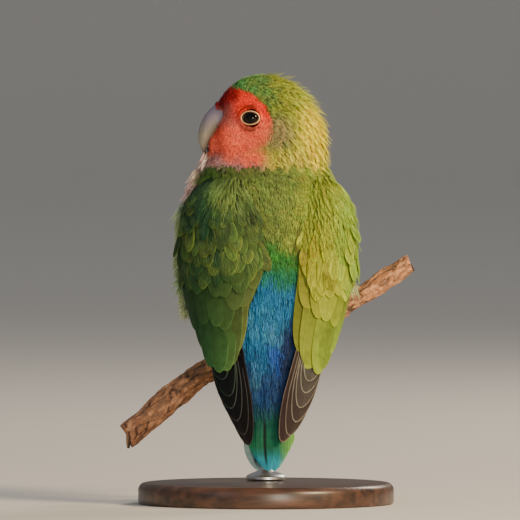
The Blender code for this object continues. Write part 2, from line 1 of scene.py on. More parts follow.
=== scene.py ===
"""A peach-faced lovebird model, life size, on a cut branch and a plain display stand.

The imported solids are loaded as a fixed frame, and each visible surface is built around them: one skin with
a coat of small feathers, the larger feathers of wings and tail one by one, then eyes, bill, feet, bark
and stand. Sizes and places are in millimetres, and MM turns them to metres where a mesh is made.
The bird faces +Y with its head turned towards -X, and the camera looks along +Y at its back.
"""

from collections import namedtuple
from math import cos, hypot, pi, radians, sin

import bmesh
import bpy
import numpy as np
from mathutils import Matrix, Vector, noise
from mathutils.bvhtree import BVHTree


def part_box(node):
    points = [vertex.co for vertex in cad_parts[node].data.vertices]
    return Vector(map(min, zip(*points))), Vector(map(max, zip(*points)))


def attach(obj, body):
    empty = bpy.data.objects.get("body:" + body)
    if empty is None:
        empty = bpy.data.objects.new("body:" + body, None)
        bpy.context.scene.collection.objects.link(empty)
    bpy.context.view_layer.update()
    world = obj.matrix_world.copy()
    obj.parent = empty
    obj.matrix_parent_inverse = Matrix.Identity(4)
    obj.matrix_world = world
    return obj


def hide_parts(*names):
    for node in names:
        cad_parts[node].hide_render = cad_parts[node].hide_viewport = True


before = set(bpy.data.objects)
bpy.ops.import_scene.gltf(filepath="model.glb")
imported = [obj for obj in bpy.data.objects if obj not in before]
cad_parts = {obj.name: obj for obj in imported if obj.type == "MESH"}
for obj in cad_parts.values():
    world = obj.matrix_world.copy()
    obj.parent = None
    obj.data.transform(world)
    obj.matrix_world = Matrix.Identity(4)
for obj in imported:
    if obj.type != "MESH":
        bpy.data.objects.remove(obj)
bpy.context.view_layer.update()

MM = 0.001
SEED = 11
BODY = "root"

# The head's middle plane, and the way the right eye looks out of the head.
HEAD_Y = 8.5
EYE_TILT = (-0.393, 0.919, 0.015)
EYE_RADIUS = 3.4
# How far the ball sinks outside the rim of its lids, where only skin should show.
EYE_SINK = 1.6
CORNEA_RISE = 0.25
PUPIL_RADIUS = 2.15
# Lids: half length and half height of the opening and of the pale rim, and the rim's height over the eye's
# middle, with the further rise of its upper and lower edge.
LID_OPENING = (2.75, 1.95)
LID_RIM = (3.7, 2.5)
LID_RIM_WIDTH = 0.22
LID_RIM_HEIGHT = 2.45
LID_RIM_ARCH = 0.25
# Soft pads that fill out the cheeks, the chin and the brow round the bill: middle and radii.
FACE_PADS = [
    ((-15.5, 4.9, 135.5), (6.9, 4.0, 6.0)),
    ((-15.5, 12.1, 135.5), (6.9, 4.0, 6.0)),
    ((-16.9, 8.5, 131.4), (6.2, 5.4, 5.2)),
    ((-15.2, 8.5, 149.8), (3.6, 4.8, 3.6)),
]

# Bill: culmen x and z, cutting edge x and z, and half width, from the root out to the tip.
UPPER_BILL = [
    (-13.0, 150.2, -12.5, 137.6, 5.4),
    (-18.4, 150.0, -15.0, 137.2, 5.5),
    (-22.2, 146.7, -17.2, 136.8, 5.0),
    (-24.5, 142.8, -19.0, 136.3, 4.3),
    (-25.5, 138.5, -20.6, 135.6, 3.4),
    (-25.1, 135.0, -21.8, 134.2, 2.4),
    (-24.0, 132.3, -22.4, 132.8, 1.4),
    (-22.6, 129.9, -22.2, 130.3, 0.4),
]
CERE_END = 1.25
CERE_SWELL = 0.22
LOWER_BILL = [
    (-12.5, 136.2, -13.5, 130.4, 4.6),
    (-16.6, 135.9, -17.6, 130.4, 4.1),
    (-19.8, 135.0, -20.3, 130.9, 3.1),
    (-22.3, 133.4, -21.9, 131.2, 1.7),
]

# Wing: z, half width, back and side of the surface that a folded wing lies along.
WING_SHELL = [
    (126.0, 26.4, -8.6, 7.5),
    (119.0, 28.3, -13.4, 6.8),
    (110.0, 30.3, -17.2, 6.0),
    (100.0, 31.2, -20.2, 5.0),
    (90.0, 31.2, -22.7, 3.0),
    (80.0, 29.8, -25.2, -1.0),
    (70.0, 26.9, -27.8, -6.5),
    (60.0, 24.0, -31.4, -14.0),
    (50.0, 20.6, -35.6, -25.0),
    (40.0, 17.4, -39.0, -33.4),
    (32.0, 14.6, -42.0, -38.0),
    (24.0, 12.0, -45.0, -42.4),
    (16.0, 10.0, -48.0, -46.2),
]
# Steps in which a reach round that surface is measured out.
SHELL_STEPS = 60
# How far each wing is shifted away from the back's middle, as z, left and right.
WING_SHIFT = [(20.0, 0.0, 0.0), (57.0, -1.2, 1.4), (75.0, -3.2, 1.5), (92.0, -4.5, 1.5), (126.0, -4.5, 1.5)]
# Arm: z, then how far its inner edge on the left wing, its inner edge on the right wing and its outer edge
# lie from the back's middle. The left shoulder's feathers close over the mantle in a slanting line, and the
# right one's lie lower.
WING_ARM = [
    (123.5, 17.5, 19.5, 26.0),
    (117.5, 13.3, 17.5, 38.0),
    (110.0, 9.8, 16.0, 44.0),
    (103.0, 6.6, 13.6, 46.0),
    (96.0, 3.6, 11.4, 46.5),
    (91.0, 3.6, 10.2, 45.8),
    (85.0, 5.2, 9.8, 44.0),
    (80.0, 6.8, 9.8, 42.0),
    (73.0, 9.0, 10.6, 38.0),
    (62.0, 10.0, 11.0, 33.0),
]
# Height of the feathers on the arm over the surface that the wing lies along.
ARM_HEIGHT = [(62.0, 2.6), (85.0, 3.5), (100.0, 3.3), (112.0, 2.3), (123.0, 0.9)]

# Tail: z of its root and tip, z and then y of its upper side, and a feather's half width.
TAIL_ROOT = 36.0
TAIL_TIP = 14.2
TAIL_SLOPE = ((14.0, 29.0, 40.0), (-45.4, -39.7, -35.5))
TAIL_HALF_WIDTH = 3.5
TAIL_PAIRS = 6
# How far the outermost feathers of each side end above the middle pair, and how far they fan out.
TAIL_FAN = {-1: (7.0, 3.6), 1: (8.5, 6.6)}

# Perch: x, z and radius along the branch, which also leans away to the right.
PERCH = [
    (-52.0, 24.9, 4.9),
    (-40.0, 35.5, 5.1),
    (-28.5, 45.0, 4.9),
    (-18.5, 51.6, 4.7),
    (-7.0, 57.3, 4.5),
    (6.0, 62.6, 4.4),
    (19.0, 68.4, 4.2),
    (32.0, 75.2, 4.0),
    (43.0, 82.2, 3.9),
    (54.0, 89.6, 3.7),
]
PERCH_Y = 17.0
PERCH_LEAN = 0.12
PERCH_STEPS = 330
# Sawn ends: how far the face stands out of the bark, how deep its disc goes in, the mesh's rings, and the
# distance between year rings.
SAWN_RISE = 0.12
SAWN_DEPTH = 0.6
SAWN_RINGS = 26
YEAR_RING = 0.75

# Stand: radii and height of the base and the rod, and the gap under the rod's foot.
BASE_RADIUS = 48.0
BASE_HEIGHT = 8.0
ROD_RADIUS = 2.6
ROD_FOOT_RADIUS = 7.5
GAP = 0.35

# Skin: how far it lies inside the solids, how far it is swollen first to close its seams, and its mesh size.
COAT_DEPTH = 1.1
CLOSING = 0.5
SKIN_VOXEL = 0.8
# The body's slanting axis: z, then y.
BODY_AXIS = ((14, 45, 90, 126), (-44, -26, 4, 8.5))
# Coat: where its feathers point away from on the head and towards on the body, how deep their roots lie, the
# number of places that they are chosen from on the skin, on a bill part and on a shoulder, the width of a
# feather's patch on the bake map, and the most triangles of a piece.
BILL_ROOT = np.array([-19.0, 8.5, 143.0])
TAIL_POINT = np.array([0.0, -47.0, 10.0])
ROOT_DEPTH = 0.3
SKIN_SAMPLES = 300000
BRISTLE_SAMPLES = 5000
SHOULDER_SAMPLES = 9000
BAKE_PATCH = 0.003
MOST_TRIANGLES = 190000


def linear(code):
    """An sRGB hex colour as a linear triple."""
    parts = [int(code[i : i + 2], 16) / 255 for i in (1, 3, 5)]
    return np.array([c / 12.92 if c <= 0.04045 else ((c + 0.055) / 1.055) ** 2.4 for c in parts])


def rgba(code):
    """An sRGB hex colour as a socket's linear colour."""
    return (*linear(code), 1)


def smooth_table(rows):
    """Smooth curves through a table's rows, as a function of its first column that gives all the others."""
    rows = np.array(sorted(rows), float)
    keys, values = rows[:, 0], rows[:, 1:]
    steps = np.diff(values, axis=0) / np.diff(keys)[:, None]
    slopes = np.vstack([steps[:1], (steps[1:] + steps[:-1]) / 2, steps[-1:]])

    def at(key):
        key = np.clip(np.asarray(key, float), keys[0], keys[-1])
        i = np.clip(np.searchsorted(keys, key, side="right") - 1, 0, len(keys) - 2)
        span = (keys[i + 1] - keys[i])[..., None]
        t = (key[..., None] - keys[i][..., None]) / span
        found = (2 * t**3 - 3 * t**2 + 1) * values[i] + (3 * t**2 - 2 * t**3) * values[i + 1]
        found = found + (t**3 - 2 * t**2 + t) * span * slopes[i] + (t**3 - t**2) * span * slopes[i + 1]
        return np.moveaxis(found, -1, 0)

    return at


shell_row = smooth_table(WING_SHELL)
shift_row = smooth_table(WING_SHIFT)
arm_row = smooth_table(WING_ARM)
arm_height = smooth_table(ARM_HEIGHT)
perch_row = smooth_table(PERCH)


def ramp(value, low, high):
    """0 below low and 1 above high, eased between them. low may be the larger of the two."""
    t = np.clip((np.asarray(value, float) - low) / (high - low), 0, 1)
    return t * t * (3 - 2 * t)


def unit(vectors):
    return vectors / np.maximum(np.linalg.norm(vectors, axis=-1, keepdims=True), 1e-9)


def mix(first, second, share):
    return first + (second - first) * np.asarray(share)[..., None]


def colour_of(colour):
    """A linear colour from a plume's name, from a hex code, or as it is."""
    return linear(PLUMES.get(colour, colour)) if isinstance(colour, str) else colour


def washed(base, *layers):
    """A colour under layers of others, each given with the share of it that covers what is below."""
    tone = colour_of(base)
    for layer, share in layers:
        tone = mix(tone, colour_of(layer), share)
    return tone


def lump(x, z, middle_x, middle_z, half_x, half_z):
    """How far points are from the middle of an oval: 1 on its edge, less inside."""
    return np.hypot((x - middle_x) / half_x, (z - middle_z) / half_z)


# Materials


def put(tree, kind, links=(), values=(), **settings):
    """Adds a shader node. links are (own socket, output) pairs, values (own socket, value) pairs.

    settings are the node's properties, or its sockets' values, by name.
    """
    node = tree.nodes.new("ShaderNode" + kind)
    for name, value in settings.items():
        if hasattr(node, name):
            setattr(node, name, value)
        else:
            node.inputs[name.replace("_", " ")].default_value = value
    for socket, value in values:
        node.inputs[socket].default_value = value
    for socket, output in links:
        tree.links.new(output, node.inputs[socket])
    return node


def finish(name, code=None, **sockets):
    """A material with these constant sockets, and an even colour if it has one, with its tree and shader."""
    made = bpy.data.materials.new(name)
    made.use_nodes = True
    shader = made.node_tree.nodes["Principled BSDF"]
    if code:
        shader.inputs["Base Color"].default_value = rgba(code)
    for socket, value in sockets.items():
        shader.inputs[socket.replace("_", " ")].default_value = value
    return made, made.node_tree, shader


def object_noise(tree, spacing, detail=3.0, stretch=(1.0, 1.0, 1.0)):
    """Noise from 0 to 1 whose features are spacing millimetres apart, on Object coordinates."""
    place = put(tree, "TexCoord")
    mapping = put(tree, "Mapping", [("Vector", place.outputs["Object"])], Scale=stretch)
    links = [("Vector", mapping.outputs["Vector"])]
    return put(tree, "TexNoise", links, Scale=1 / (spacing * MM), Detail=detail).outputs["Fac"]


def varied(tree, shader, factor, low, high):
    """Colours the shader by the mesh's tint, darker and lighter by a factor between low and high."""
    tint = put(tree, "Attribute", attribute_name="tint")
    scale = put(
        tree, "MapRange", [("Value", factor)], From_Min=0.3, From_Max=0.7, To_Min=low, To_Max=high
    )
    links = [(0, tint.outputs["Color"]), ("Scale", scale.outputs[0])]
    mixed = put(tree, "VectorMath", links, operation="SCALE")
    tree.links.new(mixed.outputs[0], shader.inputs["Base Color"])


def bump(tree, shader, height, depth, strength=1.0):
    """A bump of depth millimetres."""
    node = put(tree, "Bump", [("Height", height)], Strength=strength, Distance=depth * MM)
    tree.links.new(node.outputs["Normal"], shader.inputs["Normal"])


# Distance between a vane's ribs. Real barbs are about 0.1 mm apart, which would not show.
RIB_STEP = 0.45


def vane_material(name, roughness):
    """Firm feather vanes: barbs zipped into a satin sheet, ribbed where they run out from the shaft."""
    made, tree, shader = finish(name, Roughness=roughness, Specular_IOR_Level=0.14)
    barb = put(tree, "Attribute", attribute_name="barb")
    turn = put(tree, "Math", [(0, barb.outputs["Fac"])], [(1, 2 * pi / RIB_STEP)], operation="MULTIPLY")
    links = [(0, object_noise(tree, 1.6, 2.0)), (2, turn.outputs[0])]
    shaken = put(tree, "Math", links, [(1, 5.0)], operation="MULTIPLY_ADD")
    rib = put(tree, "Math", [(0, shaken.outputs[0])], operation="SINE").outputs[0]
    links = [(0, rib), (2, object_noise(tree, 2.6))]
    both = put(tree, "Math", links, [(1, 0.06)], operation="MULTIPLY_ADD")
    varied(tree, shader, both.outputs[0], 0.8, 1.18)
    bump(tree, shader, rib, 0.035, 0.6)
    return made


def painted_material(name, spacing, depth, low, high, stretch=(1.0, 1.0, 1.0), detail=4.0, **sockets):
    """A surface coloured by its own tint, with uneven tone and, where it has depth, relief of one spacing."""
    made, tree, shader = finish(name, **sockets)
    grain = object_noise(tree, spacing, detail, stretch)
    varied(tree, shader, grain, low, high)
    if depth:
        bump(tree, shader, grain, depth)
    return made


def scaled_material(name):
    """Bare foot skin: dry grey scutes about 0.7 mm across, with darker skin between them."""
    made, tree, shader = finish(name, Roughness=0.55, Specular_IOR_Level=0.35)
    links = [("Vector", put(tree, "TexCoord").outputs["Object"])]
    cells = put(tree, "TexVoronoi", links, feature="DISTANCE_TO_EDGE", Scale=1 / (0.75 * MM))
    edge = put(tree, "MapRange", [("Value", cells.outputs["Distance"])], From_Min=0.0, From_Max=0.12)
    colour = put(
        tree, "Mix", [("Factor", edge.outputs[0])], data_type="RGBA", A=rgba("#4a4139"), B=rgba("#a0968a")
    )
    tree.links.new(colour.outputs["Result"], shader.inputs["Base Color"])
    bump(tree, shader, edge.outputs[0], 0.12)
    return made


def wood_material(name):
    """Dark stained beech under satin lacquer: fine straight grain, with short pores along it."""
    made, tree, shader = finish(name, Roughness=0.38, Coat_Weight=0.3, Coat_Roughness=0.25)
    grain = object_noise(tree, 3.0, 5.0, (0.12, 1.0, 1.0))
    colour = put(tree, "ValToRGB", [("Fac", grain)])
    for stop, position, code in zip(colour.color_ramp.elements, (0.35, 0.68), ("#2c1c14", "#5b3d2b")):
        stop.position = position
        stop.color = rgba(code)
    tree.links.new(colour.outputs["Color"], shader.inputs["Base Color"])
    bump(tree, shader, grain, 0.05)
    return made


def steel_material(name):
    """Turned and brushed stainless steel: fine marks run round the rod, so its gloss is drawn out."""
    made, tree, shader = finish(name, "#b9bcbe", Metallic=1.0, Anisotropic=0.5)
    marks = object_noise(tree, 0.5, 2.0, (0.1, 0.1, 1.0))
    rough = put(tree, "MapRange", [("Value", marks)], To_Min=0.22, To_Max=0.42)
    tree.links.new(rough.outputs[0], shader.inputs["Roughness"])
    bump(tree, shader, marks, 0.01)
    return made


FINISHES = {
    # Small body feathers: soft matt barbs, whose loose ends scatter light into a faint sheen.
    "down": painted_material(
        "soft body feathers", 0.9, 0.0, 0.82, 1.16, detail=2.0,
        Roughness=0.75, Specular_IOR_Level=0.15, Sheen_Weight=0.07, Sheen_Roughness=0.6,
    ),
    "flight": vane_material("satin flight feathers", 0.42),
    "covert": vane_material("matt covert feathers", 0.58),
    "horn": painted_material(
        "polished bill horn", 1.4, 0.03, 0.9, 1.08, (1.0, 1.0, 0.35),
        Roughness=0.4, Specular_IOR_Level=0.4,
    ),
    "cere": painted_material("soft cere skin", 0.5, 0.05, 0.85, 1.1, Roughness=0.6),
    "lid": painted_material("bare eyelid skin", 0.35, 0.08, 0.85, 1.12, Roughness=0.5),
    "eye": painted_material("wet eyeball", 3.0, 0.0, 0.95, 1.05, Roughness=0.04, Specular_IOR_Level=0.25),
    "foot": scaled_material("scaly foot skin"),
    "claw": painted_material("dark claw horn", 0.8, 0.02, 0.8, 1.15, Roughness=0.35),
    "bark": painted_material("weathered acacia bark", 0.7, 0.12, 0.72, 1.25, Roughness=0.9),
    "wood": wood_material("satin stained beech"),
    "steel": steel_material("brushed stainless steel"),
}


# Meshes


def linked(name, data):
    """A new object in the scene."""
    obj = bpy.data.objects.new(name, data)
    bpy.context.scene.collection.objects.link(obj)
    return obj


def piece(mesh, material, replaced=()):
    """Links a mesh as a piece of the model, with its finish and the solids that it stands for."""
    obj = linked(mesh.name, mesh)
    mesh.materials.append(FINISHES[material])
    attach(obj, BODY)
    if replaced:
        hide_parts(*replaced)
    return obj


def set_tint(mesh, colours):
    """Stores one linear colour for each vertex, or one for all of them."""
    colours_and_alpha = np.ones((len(mesh.vertices), 4), np.float32)
    colours_and_alpha[:, :3] = np.clip(colours, 0, 1)
    mesh.color_attributes.new(name="tint", type="FLOAT_COLOR", domain="POINT")
    mesh.color_attributes["tint"].data.foreach_set("color", colours_and_alpha.ravel())


def rows_of(items, key, width, kind=np.float32):
    """One attribute of all of a mesh's points, corners or triangles, as an array with a row for each."""
    values = np.empty(len(items) * width, kind)
    items.foreach_get(key, values)
    return values.reshape(-1, width)


def points_of(mesh):
    """A mesh's points, in millimetres."""
    return rows_of(mesh.vertices, "co", 3).astype(float) / MM


def set_bake(mesh, places):
    """Stores the bake map, from one place for each vertex."""
    corners = rows_of(mesh.loops, "vertex_index", 1, np.int32)[:, 0]
    layer = mesh.uv_layers.new(name="OFBake")
    layer.data.foreach_set("uv", np.clip(places[corners], 0, 1).astype(np.float32).ravel())


def joined_mesh(name, verts, pattern, tint, bake):
    """A mesh of many small closed shapes with the same faces, from (shape, point, ...) arrays."""
    count, size, _ = verts.shape
    sides = pattern.shape[1]
    faces = (pattern[None] + (np.arange(count) * size)[:, None, None]).reshape(-1, sides)
    mesh = bpy.data.meshes.new(name)
    mesh.vertices.add(count * size)
    mesh.vertices.foreach_set("co", (verts * MM).astype(np.float32).ravel())
    mesh.loops.add(faces.size)
    mesh.loops.foreach_set("vertex_index", faces.astype(np.int32).ravel())
    mesh.polygons.add(len(faces))
    mesh.polygons.foreach_set("loop_start", np.arange(0, faces.size, sides, dtype=np.int32))
    mesh.update(calc_edges=True)
    mesh.shade_smooth()
    set_tint(mesh, tint.reshape(-1, 3))
    set_bake(mesh, bake.reshape(-1, 2))
    return mesh


def plain_mesh(name, bm):
    """A smooth mesh from a bmesh, as it is."""
    mesh = bpy.data.meshes.new(name)
    bm.to_mesh(mesh)
    bm.free()
    mesh.shade_smooth()
    return mesh


def bm_mesh(name, bm):
    """A smooth mesh in metres from a bmesh in millimetres, with doubles merged and faces turned outwards."""
    bmesh.ops.remove_doubles(bm, verts=bm.verts, dist=0.0005)
    bmesh.ops.recalc_face_normals(bm, faces=bm.faces)
    bmesh.ops.scale(bm, vec=(MM, MM, MM), verts=bm.verts)
    return plain_mesh(name, bm)


def wrapped(around, along, place, paint=None):
    """A bmesh tube: a grid rolled up by place(turn, share), its seam merged and its ends filled.

    paint gives the points' colours, once all of them are placed.
    """
    bm = bmesh.new()
    bmesh.ops.create_grid(bm, x_segments=around, y_segments=along, size=0.5)
    for vert in bm.verts:
        vert.co = place((vert.co.x + 0.5) * 2 * pi, vert.co.y + 0.5)
    if paint:
        layer = bm.verts.layers.float_color.new("tint")
        for vert, colour in zip(bm.verts, paint()):
            vert[layer] = (*colour, 1.0)
    bmesh.ops.remove_doubles(bm, verts=bm.verts, dist=0.002)
    bmesh.ops.holes_fill(bm, edges=[e for e in bm.edges if e.is_boundary])
    return bm


def turned(name, profile, around):
    """A mesh turned about the Z axis from a closed profile of (radius, z)."""
    bm = bmesh.new()
    verts = [bm.verts.new((radius, 0, z)) for radius, z in profile]
    edges = [bm.edges.new(pair) for pair in zip(verts, verts[1:])]
    bmesh.ops.spin(
        bm, geom=verts + edges, axis=(0, 0, 1), cent=(0, 0, 0), angle=2 * pi, steps=around, use_merge=True
    )
    mesh = bm_mesh(name, bm)
    mesh.set_sharp_from_angle(angle=radians(35))
    return mesh


def node_bm(*names):
    """A bmesh of some CAD nodes, in metres."""
    bm = bmesh.new()
    for name in names:
        bm.from_mesh(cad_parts[name].data)
    return bm


def node_tree(*names):
    """One search tree over some CAD nodes, in millimetres."""
    bm = node_bm(*names)
    bmesh.ops.scale(bm, vec=(1 / MM, 1 / MM, 1 / MM), verts=bm.verts)
    tree = BVHTree.FromBMesh(bm)
    bm.free()
    return tree


# Plumage markings

PLUMES = {
    "brow": "#9c0511",
    "eye patch": "#ff3c20",
    "lores": "#c96c66",
    "cheek": "#ff7056",
    "throat": "#b78f93",
    "chin": "#eecdc0",
    "forecrown": "#4f8c48",
    "crown": "#848f35",
    "hind crown": "#bac541",
    # Nape and neck: straw yellow, partly painted light where the light from the right falls on the head.
    "nape": "#fbe22c",
    "ear": "#a3926a",
    "neck": "#cfc84f",
    "mantle": "#728941",
    # Left back darker and right back yellower: painted shade and painted light over the mantle's own green.
    "left back": "#466f28",
    "right back": "#96a93a",
    "rump edge": "#247d30",
    "rump teal": "#197c57",
    "rump blue": "#2579ad",
    "rump navy": "#0d2c5e",
    "rump ultramarine": "#2154b4",
    "tail blue": "#103c74",
    "tail teal": "#10504f",
    "rump pale": "#4a8fb8",
    "breast": "#9db552",
    "flank": "#b6ca92",
    "vent": "#9cbc52",
    "fringe": "#97a83c",
}
# Patches of blue on the rump: colour, strength, then middle and half size in x and z.
RUMP_PATCHES = [
    ("rump pale", 0.7, 3.5, 65.0, 4.5, 4.0),
    ("rump pale", 0.45, -4.5, 50.0, 3.0, 8.0),
    ("rump ultramarine", 0.8, 4.0, 56.5, 3.8, 6.5),
    ("rump navy", 1.0, 9.8, 58.0, 5.4, 14.0),
    ("rump navy", 0.6, 6.0, 44.0, 4.0, 4.0),
]


def patchy(points, size):
    """Smooth uneven values from -1 to 1 at points, in patches about size millimetres across."""
    x, y, z = 2.2 * points.T / size
    return np.sin(x + 1.3 * np.sin(0.8 * z + 0.4 * y)) * np.sin(0.9 * z + 1.1 * np.sin(1.1 * x + 0.7 * y))


def plumage(points):
    """The colour of the coat at each point. It depends on where the point is, alike for skin and feathers."""
    x, y, z = points.T
    uneven = patchy(points, 3.5)
    ahead = y - side_line(z)
    body = mix(back_plumage(points, uneven), front_plumage(x, z, ahead), ramp(ahead, -6.0, 4.0))
    body = body * (1 + 0.08 * uneven)[:, None]
    soft = ramp(x, 0, 12)
    collar = 125.4 - 1.2 * soft
    level = z + (0.6 + 0.8 * soft) * patchy(points, 1.6)
    return mix(body, head_plumage(points, uneven), ramp(level, collar, collar + 1.4 + 2.6 * soft))


def head_plumage(points, uneven):
    """A rosy face, and a green cap that turns olive and straw yellow towards the nape, the yellow partly
    painted light.
    """
    x, y, z = points.T
    blurred = 1 - ramp(z, 138, 146)
    red = 1 - ramp(face_patch(x, z) + 0.04 * uneven, 0.91 - 0.29 * blurred, 0.99 + 0.26 * blurred)
    red = np.maximum(red, ramp(z, 136, 130) * ramp(x, 3.0, -4.0))
    rosy = washed(
        "cheek",
        ("lores", ramp(z, 139, 144) * ramp(x, -8, -13)),
        ("eye patch", ramp(z, 142, 147) * ramp(x, -15, -9)),
    )
    mottled = 1 + 0.12 * patchy(points, 1.9) * ramp(z, 146, 140)
    # Painted light round the eye's rim, which lifts the shade in the hollow between the rim and the face
    # feathers.
    light_round_eye = 1 + 0.5 * ramp(lid_reach(points), 1.5, 1.1)
    rosy = washed(
        rosy * (mottled * light_round_eye)[:, None],
        ("brow", ramp(z - 0.5 * x, 154.5, 158.5) * ramp(x, -8.5, -11.5)),
        ("throat", ramp(z + 1.5 * uneven + 3.5 * ramp(x, -20, -6), 134, 127.5)),
        ("chin", ramp(z, 129, 124) * ramp(x, -19, -24) * ramp(y, 14, 8)),
    )
    cap = washed(
        "forecrown",
        ("crown", ramp(x + 4.0 * uneven, -10.0, 9.0)),
        ("hind crown", ramp(x + 4.0 * uneven, 1.0, 16.0)),
        # The nape's yellow is partly painted light on the head's right side.
        ("nape", ramp(x, 9.0, 18.0) * ramp(z, 154, 142) * (1 - 0.55 * ramp(y, -2, 8))),
        ("ear", 0.75 * ramp(lump(x, z, 4.5, 139.0, 8.5, 9.5), 1.0, 0.3)),
        ("neck", ramp(z, 135, 129) * ramp(x, 22, 12)),
    )
    return mix(cap, rosy, red)


def back_plumage(points, uneven):
    """A green mantle, shaded under the head and along the wings, and the rump's green, blue and navy."""
    x, _, z = points.T
    # Painted shade on the left of the mantle and painted light on its right, over its own green.
    back = washed(
        "left back",
        ("mantle", ramp(x, -22, -6)),
        ("right back", ramp(x + 2 * uneven + 0.2 * (100 - z), 0, 17)),
    )
    # Painted shade under the head's overhang, and dark olive painted shade along the inner edges of both
    # wings.
    shade_under_head = 1 - 0.3 * ramp(z, 120.5, 124.5) * ramp(x, 6, -4)
    shade_by_left_wing = 1 - 0.6 * wing_seam(x - 0.8, z)
    shade_by_right_wing = ramp(np.abs(x + 0.6 * uneven - 12.4), 1.7, 0.3) * ramp(z, 85, 90) * ramp(z, 107, 102)
    band = z + 0.42 * x + 1.4 * uneven + 1.1 * patchy(points, 1.5)
    back = washed(
        back * (shade_under_head * shade_by_left_wing)[:, None],
        ("#4a4424", 0.7 * shade_by_right_wing),
        ("rump edge", 0.9 * ramp(band, 102, 95)),
        ("rump teal", ramp(band, 94, 88)),
        ("rump blue", ramp(band, 88, 81.5)),
        ("rump pale", 0.5 * ramp(uneven, 0.0, 0.7) * ramp(x, 8, -2) * ramp(band, 80, 70)),
        ("tail blue", ramp(z + 2 * uneven - 0.6 * np.abs(x), 65, 42)),
    )
    for name, strength, *place in RUMP_PATCHES:
        back = washed(back, (name, strength * ramp(lump(x + 1.2 * uneven, z, *place), 1.15, 0.5)))
    return washed(back, ("tail teal", ramp(z + uneven, 42, 34)))


def front_plumage(x, z, ahead):
    """Green underparts, with paler flank down and a pinkish bib. ahead is how far in front of the side."""
    return washed(
        "breast",
        ("throat", ramp(z, 115, 124) * ramp(x, 10, 0)),
        ("vent", ramp(z, 76, 62)),
        ("flank", ramp(x, -18, -27) * ramp(z, 46, 60) * ramp(z, 124, 116) * ramp(ahead, 15, 6)),
        ("chin", ramp(x, -14, -19) * ramp(z, 114, 119) * ramp(ahead, 10, 3)),
    )


def wing_seam(x, z):
    """1 along the shaded line where the left wing's inner edge closes over the mantle, and 0 away from it."""
    away = np.abs(x + 9.6 - 0.389 * (118.0 - z))
    return ramp(away, 2.2, 0.4) * ramp(z, 92, 96) * ramp(z, 121, 117)


def face_patch(x, z):
    """An oval round the red of the face: 1 on its edge, less inside."""
    return ((x + 16.0) / 18.5) ** 2 + ((z - 142.5) / 14.2) ** 2


def side_line(z):
    """Where the back ends and the underparts begin, as y, at a height."""
    return 6.0 - 0.55 * np.clip(95.0 - z, 0, None)


# Skin


FLESH = ("head", "neck", "torso", "rump", "leg_left", "leg_right")


def swell(bm, depth):
    """Moves a surface outwards by some millimetres."""
    bm.normal_update()
    for vert in bm.verts:
        vert.co += vert.normal * depth * MM


def skin():
    """One skin over all the flesh, inside the solids by the coat's depth, with its seams closed."""
    bm = node_bm(*FLESH)
    bmesh.ops.remove_doubles(bm, verts=bm.verts, dist=0.001 * MM)
    for middle, radii in FACE_PADS:
        place = Matrix.Translation(Vector(middle) * MM) @ Matrix.Diagonal((*(Vector(radii) * MM), 1.0))
        bmesh.ops.create_icosphere(bm, subdivisions=4, radius=1.0, matrix=place)
    swell(bm, CLOSING)
    maker = linked("skin_maker", plain_mesh("flesh", bm))
    remesh = maker.modifiers.new("Close", "REMESH")
    remesh.mode = "VOXEL"
    remesh.voxel_size = SKIN_VOXEL * MM
    smooth = maker.modifiers.new("Smooth", "SMOOTH")
    smooth.iterations = 10
    graph = bpy.context.evaluated_depsgraph_get()
    closed = bpy.data.meshes.new_from_object(maker.evaluated_get(graph))
    bpy.data.objects.remove(maker)
    bm = bmesh.new()
    bm.from_mesh(closed)
    swell(bm, -CLOSING - COAT_DEPTH)
    bm.normal_update()
    bmesh.ops.smooth_vert(bm, verts=bm.verts, factor=0.5, use_axis_x=True, use_axis_y=True, use_axis_z=True)
    made = plain_mesh("skin", bm)
    points = points_of(made)
    set_tint(made, plumage(points) * 0.7)
    set_bake(made, unwrapped(points))
    piece(made, "down", FLESH)
    return made


def unwrapped(points):
    """Where points lie on an unwrap of the skin, which goes round the body's own slanting axis."""
    x, y, z = points.T
    around = np.arctan2(x - 0.8 * (z > 126), np.interp(z, *BODY_AXIS) - y) / (2 * pi) + 0.5
    return np.stack([0.02 + 0.96 * around, 0.02 + 0.96 * (z - 10) / 155], axis=1)


def skin_samples(mesh, rng, count):
    """Random points of the skin, evenly spread, with the way out of the skin at each."""
    mesh.calc_loop_triangles()
    corners = rows_of(mesh.loop_triangles, "vertices", 3, np.int32)
    points = points_of(mesh)
    normals = rows_of(mesh.vertices, "normal", 3)
    first, second, third = (points[corners[:, k]] for k in range(3))
    areas = np.linalg.norm(np.cross(second - first, third - first), axis=1)
    chosen = rng.choice(len(corners), count, p=areas / areas.sum())
    u, v = rng.random(count), rng.random(count)
    flip = u + v > 1
    u[flip], v[flip] = 1 - u[flip], 1 - v[flip]
    weights = np.stack([1 - u - v, u, v], axis=1)[..., None]
    spots = (points[corners[chosen]] * weights).sum(axis=1)
    return spots, unit((normals[corners[chosen]] * weights).sum(axis=1))


def spaced(points, spacing):
    """The numbers of those points that are left when none may be nearer to another than the spacing."""
    steps = [(a, b, c) for a in (-1, 0, 1) for b in (-1, 0, 1) for c in (-1, 0, 1)]
    taken = {}
    kept = []
    for i, (x, y, z) in enumerate(points.tolist()):
        cell = (int(x // spacing), int(y // spacing), int(z // spacing))
        for a, b, c in steps:
            other = taken.get((cell[0] + a, cell[1] + b, cell[2] + c))
            if other and (x - other[0]) ** 2 + (y - other[1]) ** 2 + (z - other[2]) ** 2 < spacing**2:
                break
        else:
            taken[cell] = (x, y, z)
            kept.append(i)
    return np.array(kept, int)


